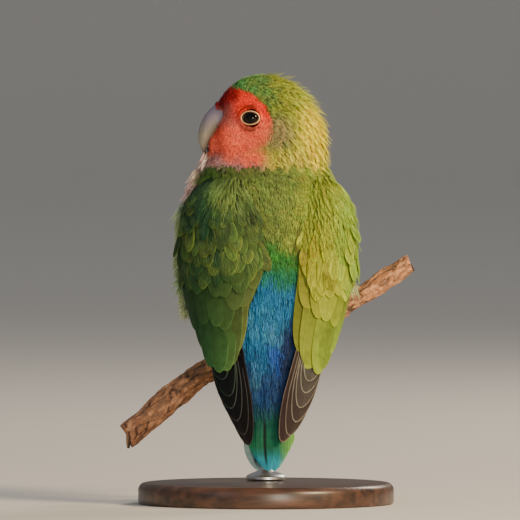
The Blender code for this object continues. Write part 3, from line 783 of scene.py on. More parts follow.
def lie_of_coat(points, normals):
    """The way the feathers point along the skin: away from the bill, over the head, then to the tail."""
    from_bill = points - BILL_ROOT
    fall = np.array([0.0, 0.0, -1.0]) * (1.3 * ramp(np.linalg.norm(from_bill, axis=1), 9, 34))[:, None]
    lie = mix(unit(TAIL_POINT - points), unit(from_bill) + fall, ramp(points[:, 2], 118, 130))
    lie -= normals * (lie * normals).sum(axis=1, keepdims=True)
    return unit(lie)


# Feathers of the coat


# Places along a barb, and its width there as a share of the widest.
LONG_BLADE = ((0.0, 0.55), (0.42, 1.0), (0.78, 0.72))
SHORT_BLADE = ((0.0, 0.8), (0.55, 1.0))
BLADE_RIDGE = 0.28


def blade_faces(rings):
    """The faces of one blade: a closed root, three sides between its rings, and a point."""
    faces = [(0, 1, 2)]
    for k in range(rings - 1):
        for j in range(3):
            a, b = 3 * k + j, 3 * k + (j + 1) % 3
            faces += [(a, a + 3, b + 3), (a, b + 3, b)]
    last = 3 * (rings - 1)
    faces += [(last + j, last + 3, last + (j + 1) % 3) for j in range(3)]
    return np.array(faces)


def blades(name, start, end, up, width, arch, low, high, spot, profile):
    """Pieces of closed three-sided blades, one for each barb that shows, as one mesh or more.

    start and end are (feather, barb, xyz) arrays. A blade runs between them over an arch, and low and high
    are its colours at the root and the tip. spot is each feather's place on the bake map.
    """
    shape = start.shape[:2]
    start, end, up, low, high = (
        np.broadcast_to(values, (*shape, 3)).reshape(-1, 3) for values in (start, end, up, low, high)
    )
    width, arch = (np.broadcast_to(values, shape).ravel() for values in (width, arch))
    spot = np.repeat(spot, shape[1], axis=0)
    pattern = blade_faces(len(profile))
    size = 3 * len(profile) + 1
    most = MOST_TRIANGLES // len(pattern)
    across = np.array([-0.5, 0.5, 0.0])
    for part, first in enumerate(range(0, len(start), most), 1):
        rows = slice(first, first + most)
        root, tip, out = start[rows], end[rows], up[rows]
        side = unit(np.cross(tip - root, out))
        verts = np.empty((len(root), size, 3))
        tint = np.empty((len(root), size, 3))
        bake = np.empty((len(root), size, 2))
        for k, (share, wide) in enumerate(profile):
            ring = slice(3 * k, 3 * k + 3)
            spine = root + (tip - root) * share + out * (arch[rows] * 4 * share * (1 - share))[:, None]
            half = (width[rows] * wide / 2)[:, None]
            corners = (spine - side * half, spine + side * half, spine + out * half * BLADE_RIDGE)
            verts[:, ring] = np.stack(corners, axis=1)
            tint[:, ring] = mix(low[rows], high[rows], share)[:, None]
            bake[:, ring, 0] = spot[rows, :1] + BAKE_PATCH * across
            bake[:, ring, 1] = spot[rows, 1:] + BAKE_PATCH * (share - 0.5)
        verts[:, -1] = tip
        tint[:, -1] = high[rows]
        bake[:, -1] = spot[rows] + np.array([0.0, BAKE_PATCH / 2])
        piece(joined_mesh(f"{name}_{part}", verts, pattern, tint, bake), "down")


# A kind of small feather: distance between roots, length, width, number of barbs and lift of the tip in
# millimetres, how unevenly the barbs end, how dark its root and how pale its tip is, and how much of its
# width its tip keeps.
Look = namedtuple("Look", "spacing length width barbs lift loose dark pale gather")
COAT = {
    "lores": Look(0.5, 1.4, 0.9, 4, 0.15, 0.15, 0.88, 0.1, 1.0),
    "face": Look(0.6, 1.9, 1.15, 5, 0.2, 0.15, 0.72, 0.12, 1.0),
    "crown": Look(0.85, 3.0, 1.6, 7, 0.4, 0.14, 0.6, 0.34, 0.6),
    "nape": Look(1.0, 4.2, 2.0, 9, 0.5, 0.14, 0.74, 0.24, 0.6),
    "spike": Look(2.3, 4.4, 2.3, 14, 2.1, 0.08, 0.88, 0.28, 0.26),
    "collar": Look(1.2, 5.0, 2.6, 12, 0.9, 0.12, 0.75, 0.25, 0.9),
    "mantle": Look(1.15, 5.2, 2.6, 11, 0.35, 0.12, 0.78, 0.22, 0.8),
    "shoulder": Look(1.05, 5.0, 2.8, 15, 0.3, 0.08, 0.86, 0.18, 1.0),
    "scapular": Look(1.35, 6.4, 3.4, 12, 0.4, 0.12, 0.5, 0.6, 0.85),
    "breast": Look(1.7, 6.0, 4.2, 11, 0.7, 0.14, 0.65, 0.22, 1.0),
    "flank": Look(1.6, 7.5, 3.6, 9, 1.2, 0.26, 0.65, 0.25, 1.0),
    "rump": Look(1.25, 7.5, 2.8, 12, 0.45, 0.2, 0.5, 0.36, 0.75),
    "uppertail": Look(1.35, 9.5, 3.0, 12, 0.35, 0.12, 0.6, 0.22, 0.7),
    "undertail": Look(1.9, 8.0, 4.2, 9, 0.6, 0.15, 0.65, 0.2, 1.0),
    "thigh": Look(1.3, 4.0, 2.5, 8, 0.5, 0.18, 0.65, 0.2, 1.0),
    "bristle": Look(0.5, 1.4, 0.9, 4, 0.12, 0.2, 0.75, 0.1, 0.8),
    "fluff": Look(0.0, 5.8, 3.2, 22, 0.0, 0.25, 0.9, 0.2, 1.0),
    "bib": Look(0.0, 4.8, 1.8, 9, 0.0, 0.2, 0.85, 0.2, 0.35),
}
# The kinds that grow on the skin itself.
GROWN = (
    "lores", "face", "crown", "nape", "spike", "collar", "mantle",
    "breast", "flank", "rump", "uppertail", "undertail", "thigh",
)
# Share of feathers that stand up a little more than the rest.
RAISED = 0.18
# Feathers longer than this have a long blade for each barb.
LONG_FEATHER = 4.2


def soft_feathers(name, rng, root, tip, normal, colour, look):
    """Soft feathers, each a fan of barbs from near its root out to a rounded or gathered edge.

    root, tip, normal and colour are arrays with a row for each feather.
    """
    count, barbs = len(root), look.barbs
    length = np.linalg.norm(tip - root, axis=1)[:, None]
    lie = unit(tip - root)
    across = unit(np.cross(normal, lie))
    fan = np.linspace(-1, 1, barbs)[None] + rng.normal(0, 0.35 / barbs, (count, barbs))
    near = 0.05 + 0.3 * (1 - np.abs(fan)) * rng.random((count, barbs))
    far = (0.6 + 0.4 * np.cos(fan * pi / 2)) * (1 + rng.normal(0, look.loose, (count, barbs)))
    half = look.width / 2
    ends = half * look.gather * np.sin(np.clip(fan, -1, 1) * pi / 2)
    ends = ends * (1 + rng.normal(0, look.loose, (count, barbs)))
    rise = rng.normal(0, 0.25 * look.loose, (count, barbs)) * length

    def placed(along, beside, out):
        spots = root[:, None] + lie[:, None] * (along * length)[..., None]
        return spots + across[:, None] * beside[..., None] + normal[:, None] * out[..., None]

    start = placed(near, half * (0.25 + 0.7 * (1 - look.gather)) * fan, np.full_like(fan, -ROOT_DEPTH))
    end = placed(far, ends, 0.12 + np.abs(rise) - 0.04 * look.width * fan**2)
    tone = 1 + rng.normal(0, 0.09, (count, 1)) + rng.normal(0, 0.05, (count, barbs))
    body = colour[:, None] * tone[..., None] * (1 + rng.normal(0, 0.05, (count, 1, 3)))
    blades(
        name, start, end, normal[:, None],
        1.5 * look.width / barbs, length * 0.06, body * look.dark, body * (1 + look.pale), unwrapped(root),
        LONG_BLADE if look.length > LONG_FEATHER else SHORT_BLADE,
    )


def coat_region(points):
    """The name of the coat's region at each point."""
    x, y, z = points.T
    front = y > side_line(z)
    found = np.where(front, "breast", "mantle").astype(object)
    found[front & (z < 66)] = "undertail"
    found[~front & (z < 90)] = "rump"
    found[~front & (z < 56)] = "uppertail"
    found[front & (x < -17) & (z > 60) & (z < 122)] = "flank"
    found[front & (x > 20) & (z > 62) & (z < 112)] = "flank"
    found[z > 125] = "crown"
    found[(z > 125) & (z < 146) & (x > 6)] = "nape"
    found[(z > 125) & (z < 142) & (x <= 4)] = "face"
    found[(z > 138) & (face_patch(x, z) < 0.96)] = "face"
    found[(z > 128) & (np.linalg.norm((points - BILL_ROOT) * (1, 0.8, 1), axis=1) < 9.5)] = "lores"
    found[lid_reach(points) < 1.5] = "lores"
    return found


def eye_line(side):
    """An eyeball's middle, from its solid, and the way it looks. side is -1 for the bird's left."""
    low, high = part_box("eye_left" if side < 0 else "eye_right")
    x, y, z = EYE_TILT
    return np.array((low + high) / 2) / MM, unit(np.array([x, y * side, z]))


EYES = {side: eye_line(side) for side in (-1, 1)}


def lid_reach(points):
    """How far points are from the nearer eye's line of sight, as a share of its lids' outer edge."""
    rim = np.array(LID_RIM) + LID_RIM_WIDTH
    reaches = []
    for centre, aim in EYES.values():
        away = points - centre
        along = unit(np.cross(aim, (0, 0, 1)))
        up = np.cross(along, aim)
        reach = np.hypot(away @ along / rim[0], away @ up / rim[1])
        reaches.append(np.where(away @ aim < 0, 9.0, reach))
    return np.minimum(*reaches)


def under_wing(points):
    """Whether each point of the skin lies well inside a folded arm's outline."""
    x, y, z = points.T
    half, back, flank = shell_row(z)
    turn = np.arctan2(np.abs(x) / half, (flank - y) / (flank - back))
    turns = turn[:, None] * np.linspace(0, 1, 40)
    path = np.hypot(half[:, None] * np.cos(turns), (flank - back)[:, None] * np.sin(turns))
    reach = path.mean(axis=1) * turn
    left, right, outer = arm_row(z)
    inner = np.where(x < 0, left, right)
    reach = reach - np.where(x < 0, *shift_row(z))
    return (z > 74) & (z < 120) & (reach > inner + 3.0) & (reach < outer - 3.0)


def rooted(name, spots, regions, thighs):
    """The numbers of the places on the skin where one kind of small feather may grow."""
    x, y, z = spots.T
    if name == "thigh":
        rows = np.flatnonzero((z < 90) & (y > 0))
        return rows[[thighs.find_nearest(spots[i], 2.2)[0] is not None for i in rows]]
    if name == "spike":
        return np.flatnonzero(np.isin(regions, ("crown", "nape")) & (x > -1) & (z > 129))
    if name == "collar":
        return np.flatnonzero((z > 123.0) & (z < 127.5))
    return np.flatnonzero(regions == name)


def coat(mesh):
    """All the small feathers that grow on the skin."""
    rng = np.random.default_rng(SEED)
    spots, normals = skin_samples(mesh, rng, SKIN_SAMPLES)
    feathered = (lid_reach(spots) > 1.02) & ~under_wing(spots)
    spots, normals = spots[feathered], normals[feathered]
    regions = coat_region(spots)
    bill = node_tree("upper_bill", "lower_bill")
    wings = node_tree("wing_left", "wing_right")
    thighs = node_tree("leg_left", "leg_right")
    surface = BVHTree.FromPolygons(
        [tuple(p) for p in points_of(mesh)], [tuple(face.vertices) for face in mesh.polygons]
    )

    def covered(spot, out):
        """Whether a wing lies over a place low on the body, or the bill over one on the head."""
        if spot.z < 74 and abs(spot.x) > 13 and wings.ray_cast(spot + out * 0.2, out, 6.0)[0] is not None:
            return True
        return spot.z > 124 and bill.find_nearest(spot, 0.3)[0] is not None

    for name in GROWN:
        look = COAT[name]
        rows = rooted(name, spots, regions, thighs)
        rows = rows[spaced(spots[rows], look.spacing)]
        kept = [i for i in rows if not covered(Vector(spots[i]), Vector(normals[i]))]
        root, normal = spots[kept], normals[kept]
        lie = unit(lie_of_coat(root, normal) + rng.normal(0, 0.4 * look.loose, root.shape))
        sizes = look.length * (1 + rng.normal(0, 0.1, len(root)))
        ruffle = 0.4 if name == "spike" else 1.2
        lifts = 0.35 * COAT_DEPTH + look.lift * (1 + ruffle * (rng.random(len(root)) < RAISED))
        tip = np.empty_like(root)
        for k, (spot, way, size) in enumerate(zip(root, lie, sizes)):
            found, out, _, _ = surface.find_nearest(Vector(spot + way * size))
            tip[k] = found + out * lifts[k]
        soft_feathers(f"coat_{name}", rng, root, tip, normal, plumage(root + 0.6 * (tip - root)), look)


def face_bristles():
    """Small feathers that grow over the cere and the sides of the lower bill."""
    rng = np.random.default_rng(SEED + 1)
    look = COAT["bristle"]
    roots, outs = [], []
    for node, front, side_front in (("cere", -19.9, -16.2), ("lower_bill", -21.6, -21.6)):
        spots, normals = skin_samples(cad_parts[node].data, rng, BRISTLE_SAMPLES)
        bare = ramp(spots[:, 2], 139.5, 141.5) * ramp(spots[:, 2], 148.5, 146.5)
        rows = np.flatnonzero((spots[:, 0] > front + (side_front - front) * bare) & (normals[:, 0] > -0.85))
        rows = rows[spaced(spots[rows], look.spacing)]
        roots.append(spots[rows])
        outs.append(normals[rows])
    root, normal = np.concatenate(roots), np.concatenate(outs)
    lie = unit(lie_of_coat(root, normal) + 0.2 * normal)
    tip = root + lie * look.length + normal * look.lift
    soft_feathers("coat_bristle", rng, root, tip, normal, plumage(root), look)


# Loose tufts that stand away from the body: kind, colour, side, number, and the ranges that their roots lie
# in, as millimetres inside the wing's outline, in front of its edge, and up, then the way they point.
LOOSE_TUFTS = [
    ("fluff", "flank", -1, 110, (-0.2, 2.2), (0.5, 5.0), (74.0, 114.0), (-0.28, -0.05, -0.94)),
    ("fluff", "flank", 1, 12, (0.5, 2.0), (-0.5, 2.0), (82.0, 92.0), (0.42, -0.05, -0.9)),
    ("bib", "chin", -1, 170, (0.8, 5.0), (-2.0, 3.0), (117.0, 126.0), (-0.6, 0.0, -0.8)),
    ("bib", "chin", -1, 150, (3.4, 8.0), (-3.0, 4.0), (123.0, 132.0), (-0.36, -0.05, -0.93)),
]
WING_BULGE = 1.0


def loose_tufts():
    """Ruffled down at the flanks and under the chin."""
    rng = np.random.default_rng(SEED + 2)
    for number, (kind, colour, side, count, inside, ahead, up, way) in enumerate(LOOSE_TUFTS, 1):
        look = COAT[kind]
        inward, forward, z = (low + (high - low) * rng.random(count) for low, high in (inside, ahead, up))
        half, _, flank = shell_row(z)
        bulge = WING_BULGE * ramp(z, 122, 112)
        root = np.stack([side * (half + bulge - inward), flank + forward, z], axis=1)
        aim = unit(np.array(way) + rng.normal(0, 0.12, (count, 3)))
        tip = root + aim * look.length * (1 + rng.normal(0, 0.15, (count, 1)))
        out = unit(np.cross(np.cross(aim, (0.0, -1.0, 0.2)), aim))
        tint = np.tile(colour_of(colour), (count, 1))
        soft_feathers(f"coat_{kind}_{number}", rng, root, tip, out, tint, look)


# Feathers of wings and tail


# Steps across and along a vane, for the long feathers and for the small coverts, and its thickness.
FINE_ACROSS = np.array([-1, -0.93, -0.86, -0.55, -0.25, -0.035, 0, 0.035, 0.25, 0.55, 0.86, 0.93, 1])
FINE_ALONG = np.array([0, 0.12, 0.25, 0.38, 0.5, 0.6, 0.7, 0.78, 0.85, 0.9, 0.94, 0.97, 0.985, 1])
SMALL_ACROSS = np.array([-1, -0.8, -0.4, 0, 0.4, 0.8, 1])
SMALL_ALONG = np.array([0, 0.2, 0.4, 0.6, 0.74, 0.86, 0.94, 0.98, 1])
VANE_THICK = 0.14
TIP_START = 0.68


def vane_outline(along, pointed, root_width=0.55):
    """Half width, as a share of the widest, at each step along a vane with a rounded tip."""
    wide = root_width + (1 - root_width) * np.sin(pi / 2 * np.clip(along / 0.55, 0, 1))
    late = np.clip((along - TIP_START) / (1 - TIP_START), 0, 1)
    round_tip = np.sqrt(np.clip(1 - late**2, 0, 1)) * (1 - pointed) + pointed * (1 - late)
    return np.maximum(wide * round_tip, 0.012)


def vanes(name, slot, material, tops, bottoms, tint, barb, replaced=()):
    """One piece of closed thin feathers. tops and bottoms are (feather, along, across, xyz) arrays."""
    count, rows, columns, _ = tops.shape
    size = rows * columns
    index = np.arange(size).reshape(rows, columns)
    a, b = index[:-1, :-1].ravel(), index[1:, :-1].ravel()
    c, d = index[1:, 1:].ravel(), index[:-1, 1:].ravel()
    upper = np.stack([a, d, c, b], axis=1)
    lower = np.stack([a, b, c, d], axis=1) + size
    rim = np.concatenate([index[:, 0], index[-1, 1:], index[-2::-1, -1], index[0, -2:0:-1]])
    after = np.roll(rim, -1)
    edge = np.stack([rim, after, after + size, rim + size], axis=1)[:, ::-1]
    pattern = np.concatenate([upper, lower, edge])
    cells = int(np.ceil(np.sqrt(2 * count)))
    cell = np.arange(2 * count)
    corner = np.stack([cell % cells, cell // cells], axis=1) / cells
    across, along = np.meshgrid(np.linspace(0, 1, columns), np.linspace(0, 1, rows))
    inside = (0.04 + 0.92 * np.stack([across.ravel(), along.ravel()], axis=1)) / cells

    def both_sides(upper_side, lower_side):
        return np.concatenate([side.reshape(count, size, -1) for side in (upper_side, lower_side)], axis=1)

    mesh = joined_mesh(
        name, both_sides(tops, bottoms), pattern, both_sides(tint, tint), corner[:, None] + inside[None]
    )
    ribs = mesh.attributes.new("barb", "FLOAT", "POINT")
    ribs.data.foreach_set("value", both_sides(barb, barb).ravel())
    bm = bmesh.new()
    bm.from_mesh(mesh)
    bmesh.ops.recalc_face_normals(bm, faces=bm.faces)
    bm.to_mesh(mesh)
    bm.free()
    piece(mesh, material, replaced)


def shell(reach, z, lift, side):
    """Points at a lift over the surface that a folded wing lies along, by reach from the back's middle."""
    half, back, flank = shell_row(z)
    left = reach + shift_row(z)[int(side > 0)]
    turn = np.zeros_like(left)
    for _ in range(SHELL_STEPS):
        turn = turn + left / SHELL_STEPS / np.hypot(half * np.cos(turn), (flank - back) * np.sin(turn))
    return np.stack(
        [side * (half + lift) * np.sin(turn), flank - (flank - back + lift) * np.cos(turn), z], axis=-1
    )


def on_wing(side, root, tip, along, beside, lift):
    """Points on feathers of a folded wing, by their share along and millimetres beside the middle line.

    root and tip have the reach and z of each feather's ends, and the rest are (feather, ...) arrays.
    """
    way = unit(tip - root)
    across = np.stack([-way[:, 1], way[:, 0]], axis=1)
    across = across * np.sign(across[:, :1])
    shape = (len(root),) + (1,) * (along.ndim - 1) + (2,)
    flat = root.reshape(shape) + (tip - root).reshape(shape) * along[..., None]
    flat = flat + across.reshape(shape) * beside[..., None]
    return shell(flat[..., 0], flat[..., 1], lift, side)


def wing_vanes(
    rng, side, root, tip, half_width, lifts, colour, edge, pointed, tilt, camber,
    small=False, bow=0.6, shaft=0.75, rim_width=0.34, dark=0.5,
):
    """Vanes on a folded wing, as tops, bottoms, tints and barb places.

    root, tip, lifts, colour and edge have a row for each vane. lifts is of its root and its tip, and dark is
    the tone of the root against the tip's.
    """
    across = (SMALL_ACROSS if small else FINE_ACROSS)[None, None, :]
    share = (SMALL_ALONG if small else FINE_ALONG)[None, :, None]
    outline = vane_outline(share, pointed)
    half = np.broadcast_to(half_width, (len(root),))[:, None, None]
    wide = half * outline * across
    low, high = np.moveaxis(lifts, 1, 0)[..., None, None]
    lift = low + (high - low) * share + tilt * wide + camber * (1 - across**2) * outline
    along = share + 0 * wide
    beside = wide + bow * np.sin(pi * share)
    length = np.linalg.norm(tip - root, axis=1)[:, None, None]
    rim = np.minimum(half * outline * (1 - np.abs(across)), (1 - share) * length * 0.6)
    body = colour[:, None, None] * (1 + rng.normal(0, 0.07, (len(root), 1, 1, 1)))
    # The root's darker tone is painted shade, where the vane lies under the feathers above it.
    tint = washed(
        body * (dark + (1.08 - dark) * along**1.5)[..., None],
        (edge[:, None, None], ramp(rim, rim_width, 0.25 * rim_width)),
        (body * shaft, ramp(np.abs(across), 0.05, 0.02) * ramp(share, 1, 0.85)),
    )
    return (
        on_wing(side, root, tip, along, beside, lift),
        on_wing(side, root, tip, along, beside, lift - VANE_THICK),
        tint,
        length * share - 1.2 * np.abs(wide),
    )


def wing_row(rng, side, roots, tips, half_width, lifts, count, colour, edge, jitter=0.4, **shape):
    """One row of vanes. roots and tips are functions of the share along the row, and lifts is of both ends.

    jitter is how unevenly the tips end.
    """
    share = np.linspace(0, 1, count)
    root = np.array([roots(s) for s in share]) + rng.normal(0, 0.3, (count, 2))
    tip = np.array([tips(s) for s in share]) + rng.normal(0, 1.0, (count, 2)) * (0.4, jitter)
    return wing_vanes(rng, side, root, tip, half_width, lifts(root, tip), colour, edge, **shape)


def line(*points):
    """A smooth line through points, as a function from 0 to 1."""
    return smooth_table([(i / (len(points) - 1), *point) for i, point in enumerate(points)])


def row_colours(count, *codes):
    """Colours for a row of feathers, blended evenly along a list of hex colours."""
    keys = np.linspace(0, 1, len(codes))
    anchors = np.array([linear(code) for code in codes])
    shares = np.linspace(0, 1, count)
    return np.stack([np.interp(shares, keys, anchors[:, k]) for k in range(3)], axis=1)


# The left wing's tones are darker and the right's paler and yellower, with paler primary edges: painted shade
# and painted light over the feathers' own colours.
WING_COLOURS = {
    -1: {
        "primary": ("#0b0708", "#080708", "#080a0a", "#0c1010"),
        "primary edge": ("#2a2626", "#3d4543", "#384d42"),
        "secondary": ("#5a6834", "#3f6434", "#28502c", "#204326"),
        "greater": ("#4c5c30", "#3a592d", "#294b26", "#203f22"),
        "median": ("#4a5c2c", "#3b562b", "#2c4b27", "#234125"),
    },
    1: {
        "primary": ("#2d1f1e", "#2f2625", "#373230", "#42413c"),
        "primary edge": ("#86796c", "#a19a88", "#9da08e"),
        "secondary": ("#737d2a", "#74842a", "#75902d", "#7b9e36"),
        "greater": ("#797f28", "#7d8a28", "#7b902a", "#7c9b31"),
        "median": ("#8d942c", "#91992c", "#8a9d2e", "#88a534"),
    },
}
# Where the rows of long feathers start and end on each wing, as (reach, z) along the row from the back
# outwards, with their half width and number.
WING_ROWS = {
    -1: {
        "secondary": (
            ((13.3, 92.0), (25.0, 88.0), (41.0, 86.0)),
            ((12.2, 56.0), (13.4, 52.4), (16.2, 50.2), (20.6, 52.8), (26.5, 62.5), (34.5, 73.0)),
            4.3, 8,
        ),
        "greater": (
            ((9.5, 98.0), (25.0, 96.0), (42.0, 95.0)),
            ((10.6, 74.0), (18.0, 66.5), (28.0, 68.5), (40.0, 79.0)),
            3.9, 8,
        ),
        "median": (
            ((8.5, 104.0), (25.0, 102.0), (42.5, 100.0)),
            ((9.0, 84.0), (17.5, 78.5), (29.0, 79.5), (42.0, 87.0)),
            3.5, 10,
        ),
    },
    1: {
        "secondary": (
            ((14.5, 92.0), (26.0, 88.0), (41.0, 86.0)),
            ((11.6, 57.6), (13.4, 52.8), (16.2, 50.2), (19.8, 52.3), (25.6, 61.4), (33.8, 71.8)),
            4.3, 8,
        ),
        "greater": (
            ((15.0, 98.0), (27.0, 96.0), (42.0, 95.0)),
            ((13.6, 73.0), (20.0, 66.5), (29.5, 68.5), (40.0, 78.0)),
            3.9, 7,
        ),
        "median": (
            ((15.0, 104.0), (27.0, 102.0), (42.5, 100.0)),
            ((14.0, 83.0), (20.5, 78.0), (30.0, 79.0), (42.0, 86.0)),
            3.5, 9,
        ),
    },
}
PRIMARY_ROOTS = ((19.5, 80.0), (23.0, 81.0), (26.0, 82.0))
PRIMARY_TIPS = {
    -1: ((6.2, 23.6), (8.4, 28.0), (11.4, 34.6), (13.4, 41.0), (15.6, 47.5)),
    1: ((6.4, 24.0), (8.0, 28.4), (10.2, 34.8), (11.8, 41.2), (14.2, 47.5)),
}
# Height of a long feather's root and tip over the arm's own feathers.
ROW_HEIGHTS = {"secondary": (-1.2, 0.1), "greater": (-1.0, 0.2), "median": (-0.8, 0.3)}
# Rows of small coverts down the arm: z of the roots, length and half width.
COVERT_ROWS = (
    (117.0, 6.2, 1.7), (114.7, 6.8, 1.8), (112.2, 7.5, 1.95), (109.6, 8.2, 2.1), (106.8, 9.0, 2.25),
    (103.9, 9.8, 2.4), (100.8, 10.6, 2.55), (97.5, 11.4, 2.7), (94.0, 12.2, 2.85),
)
# The rows start below this height on each wing. Above it, the shoulder has a soft coat like the mantle's.
FIRST_COVERT = {-1: 115.5, 1: 104.5}
COVERT_BARBS = 23
# How high the small coverts' tips stand on each wing: a factor for all of them, then the most that those at
# the body's outline are ruffled, and the power that makes high ones rare.
COVERT_LIFT = {-1: (1, 2.4, 3), 1: (0.6, 3.4, 2)}
# How dark a covert's root is against its tip, on each wing: painted shade where it lies under the row above.
PAINTED_ROOT_SHADE = {-1: 0.38, 1: 0.58}


def wing(label, side):
    """A folded wing: primaries, secondaries and two rows of firm coverts, then small coverts over its arm."""
    rng = np.random.default_rng(SEED + 5 + side)
    tones = WING_COLOURS[side]

    def primary_heights(root, tip):
        """Primaries lie low, and higher the farther out their tips are."""
        return np.stack([np.full(len(root), 0.3), 0.45 + 0.16 * (tip[:, 0] - 6.2)], axis=1)

    primaries = wing_row(
        rng, side, line(*PRIMARY_ROOTS), line(*PRIMARY_TIPS[side]), 5.0, primary_heights, 6,
        row_colours(6, *tones["primary"]), row_colours(6, *tones["primary edge"]),
        pointed=0.3, tilt=0.03, camber=0.25, rim_width=0.28,
    )
    vanes(f"primaries_{label}", "wing plumage", "flight", *primaries)
    rows = []
    for name, (roots, tips, half_width, count) in WING_ROWS[side].items():
        low, high = ROW_HEIGHTS[name]

        def heights(root, tip, low=low, high=high):
            return np.stack([arm_lift(*root.T, side) + low, arm_lift(*tip.T, side) + high], axis=1)

        colour = row_colours(count, *tones[name]) * (1 + rng.normal(0, 0.1, (count, 1)))
        rows.append(wing_row(
            rng, side, line(*roots), line(*tips), half_width, heights, count, colour, colour * 1.35,
            jitter=0.4 if name == "secondary" else 2.0, pointed=0.15, tilt=0.05, camber=0.15,
            dark=PAINTED_ROOT_SHADE[side],
        ))
    joined = [np.concatenate(column) for column in zip(*rows)]
    vanes(f"covert_vanes_{label}", "wing plumage", "covert", *joined, replaced=(f"wing_{label}",))
    arm(label, side)
    small_coverts(label, side, rng)
    shoulder_coat(label, side, rng)


def arm_edges(z, side):
    """The reach of the arm's inner and outer edge at a height."""
    left, right, outer = arm_row(z)
    return (left if side < 0 else right), outer


def arm_lift(reach, z, side):
    """Height of the arm's feathers over the surface that the wing lies along, lower towards its edges."""
    inner, outer = arm_edges(z, side)
    edge = np.clip(2 * (reach - inner) / (outer - inner) - 1, -1, 1)
    sunk = 0.6 if side < 0 else 0.95
    fall = np.where(edge < 0, sunk * np.abs(edge) ** 2.5, 0.75 * np.abs(edge) ** 3)
    under = 1.6 * ramp(z, 119.5, 123.5)
    if side > 0:
        under = under + 2.4 * ramp(z, 94, 103) * np.clip(-edge, 0, 1) ** 4
    return arm_height(z)[0] * (1 - fall) - under


def arm(label, side):
    """The closed body of the folded arm, under its coverts."""
    z, share = np.meshgrid(np.linspace(122.5, 63.0, 40), np.linspace(0, 1, 30), indexing="ij")
    inner, outer = arm_edges(z, side)
    reach = inner + 0.8 + (outer - inner - 1.6) * share
    top = shell(reach, z, arm_lift(reach, z, side) - 0.7, side)
    bottom = shell(reach, z, np.full_like(z, -0.8), side)
    # Darker than the coverts: painted shade in the gaps under them, deeper on the left wing.
    tint = covert_colour(top.reshape(-1, 3), side).reshape(top.shape) * (0.6 if side < 0 else 0.8)
    vanes(f"arm_{label}", "wing plumage", "covert", top[None], bottom[None], tint[None], z[None])


def lean_of_arm(reach, z, side):
    """How far an arm feather leans away from the back's middle, for each millimetre that it hangs down."""
    inner, outer = arm_edges(z, side)
    inner_up, outer_up = arm_edges(z + 1, side)
    share = np.clip((reach - inner) / (outer - inner), 0, 1)
    return -np.clip((inner_up - inner) * (1 - share) + (outer_up - outer) * share, -0.45, 0.45)


def covert_places(side, rng):
    """The ends and half widths of the small feathers over the arm, in rows set like tiles."""
    roots, tips, halves = [], [], []
    for number, (z, length, half) in enumerate(COVERT_ROWS):
        if z > FIRST_COVERT[side]:
            continue
        inner, outer = arm_edges(z, side)
        count = max(int((outer - inner) / (1.2 * half)), 3)
        share = np.linspace(0, 1, count) + rng.normal(0, 0.3 / count, count) + 0.4 / count * (number % 2)
        start = inner + 0.8 * half + 2.4 * ramp(z, 103, 97)
        reach = start + (outer - 1.0 - start) * share
        level = z + rng.normal(0, 1.5 if z > 98 else 2.4, count)
        size = length * (1 + np.clip(rng.normal(0, 0.19, count), -0.35, 0.4))
        lean = (lean_of_arm(reach, level, side) + rng.normal(0, 0.16, count)) * size
        lean = np.where(lean < 0, lean * ramp(level, 92, 104), lean)
        roots.append(np.stack([reach, level], axis=1))
        tips.append(np.stack([reach + lean, level - size], axis=1))
        halves.append(half * (1 + rng.normal(0, 0.14, count)))
    return [np.concatenate(found) for found in (roots, tips, halves)]


def small_coverts(label, side, rng):
    """The small feathers over the arm, with barbs over and past their edges."""
    root, tip, half = covert_places(side, rng)
    usual, ruffle, rare = COVERT_LIFT[side]
    raised = (0.15 + 0.4 * rng.random(len(root)) ** 2) * usual
    at_outline = ramp(root[:, 0], 29, 33) * ramp(root[:, 0], 46, 42)
    raised = raised + ruffle * rng.random(len(root)) ** rare * at_outline
    lift = np.stack([arm_lift(*root.T, side) - 0.4, arm_lift(*tip.T, side) + raised], axis=1)
    middle = shell(root[:, 0], 0.4 * root[:, 1] + 0.6 * tip[:, 1], lift[:, 0], side)
    colour = covert_colour(middle, side) * (1 + rng.normal(0, 0.14, (len(root), 1)))
    colour = colour * (1 + rng.normal(0, 0.06, (len(root), 3)))
    edge = washed(colour, ("fringe", 0.36 * rng.random(len(colour)) ** 2))
    made = wing_vanes(
        rng, side, root, tip, half, lift, colour, edge, small=True, pointed=0.3, tilt=0.02, bow=0.2,
        camber=0.06, shaft=0.9, rim_width=0.9, dark=PAINTED_ROOT_SHADE[side],
    )
    vanes(f"small_coverts_{label}", "wing plumage", "covert", *made)
    covert_barbs(label, side, rng, root, tip, half, lift, colour, edge)


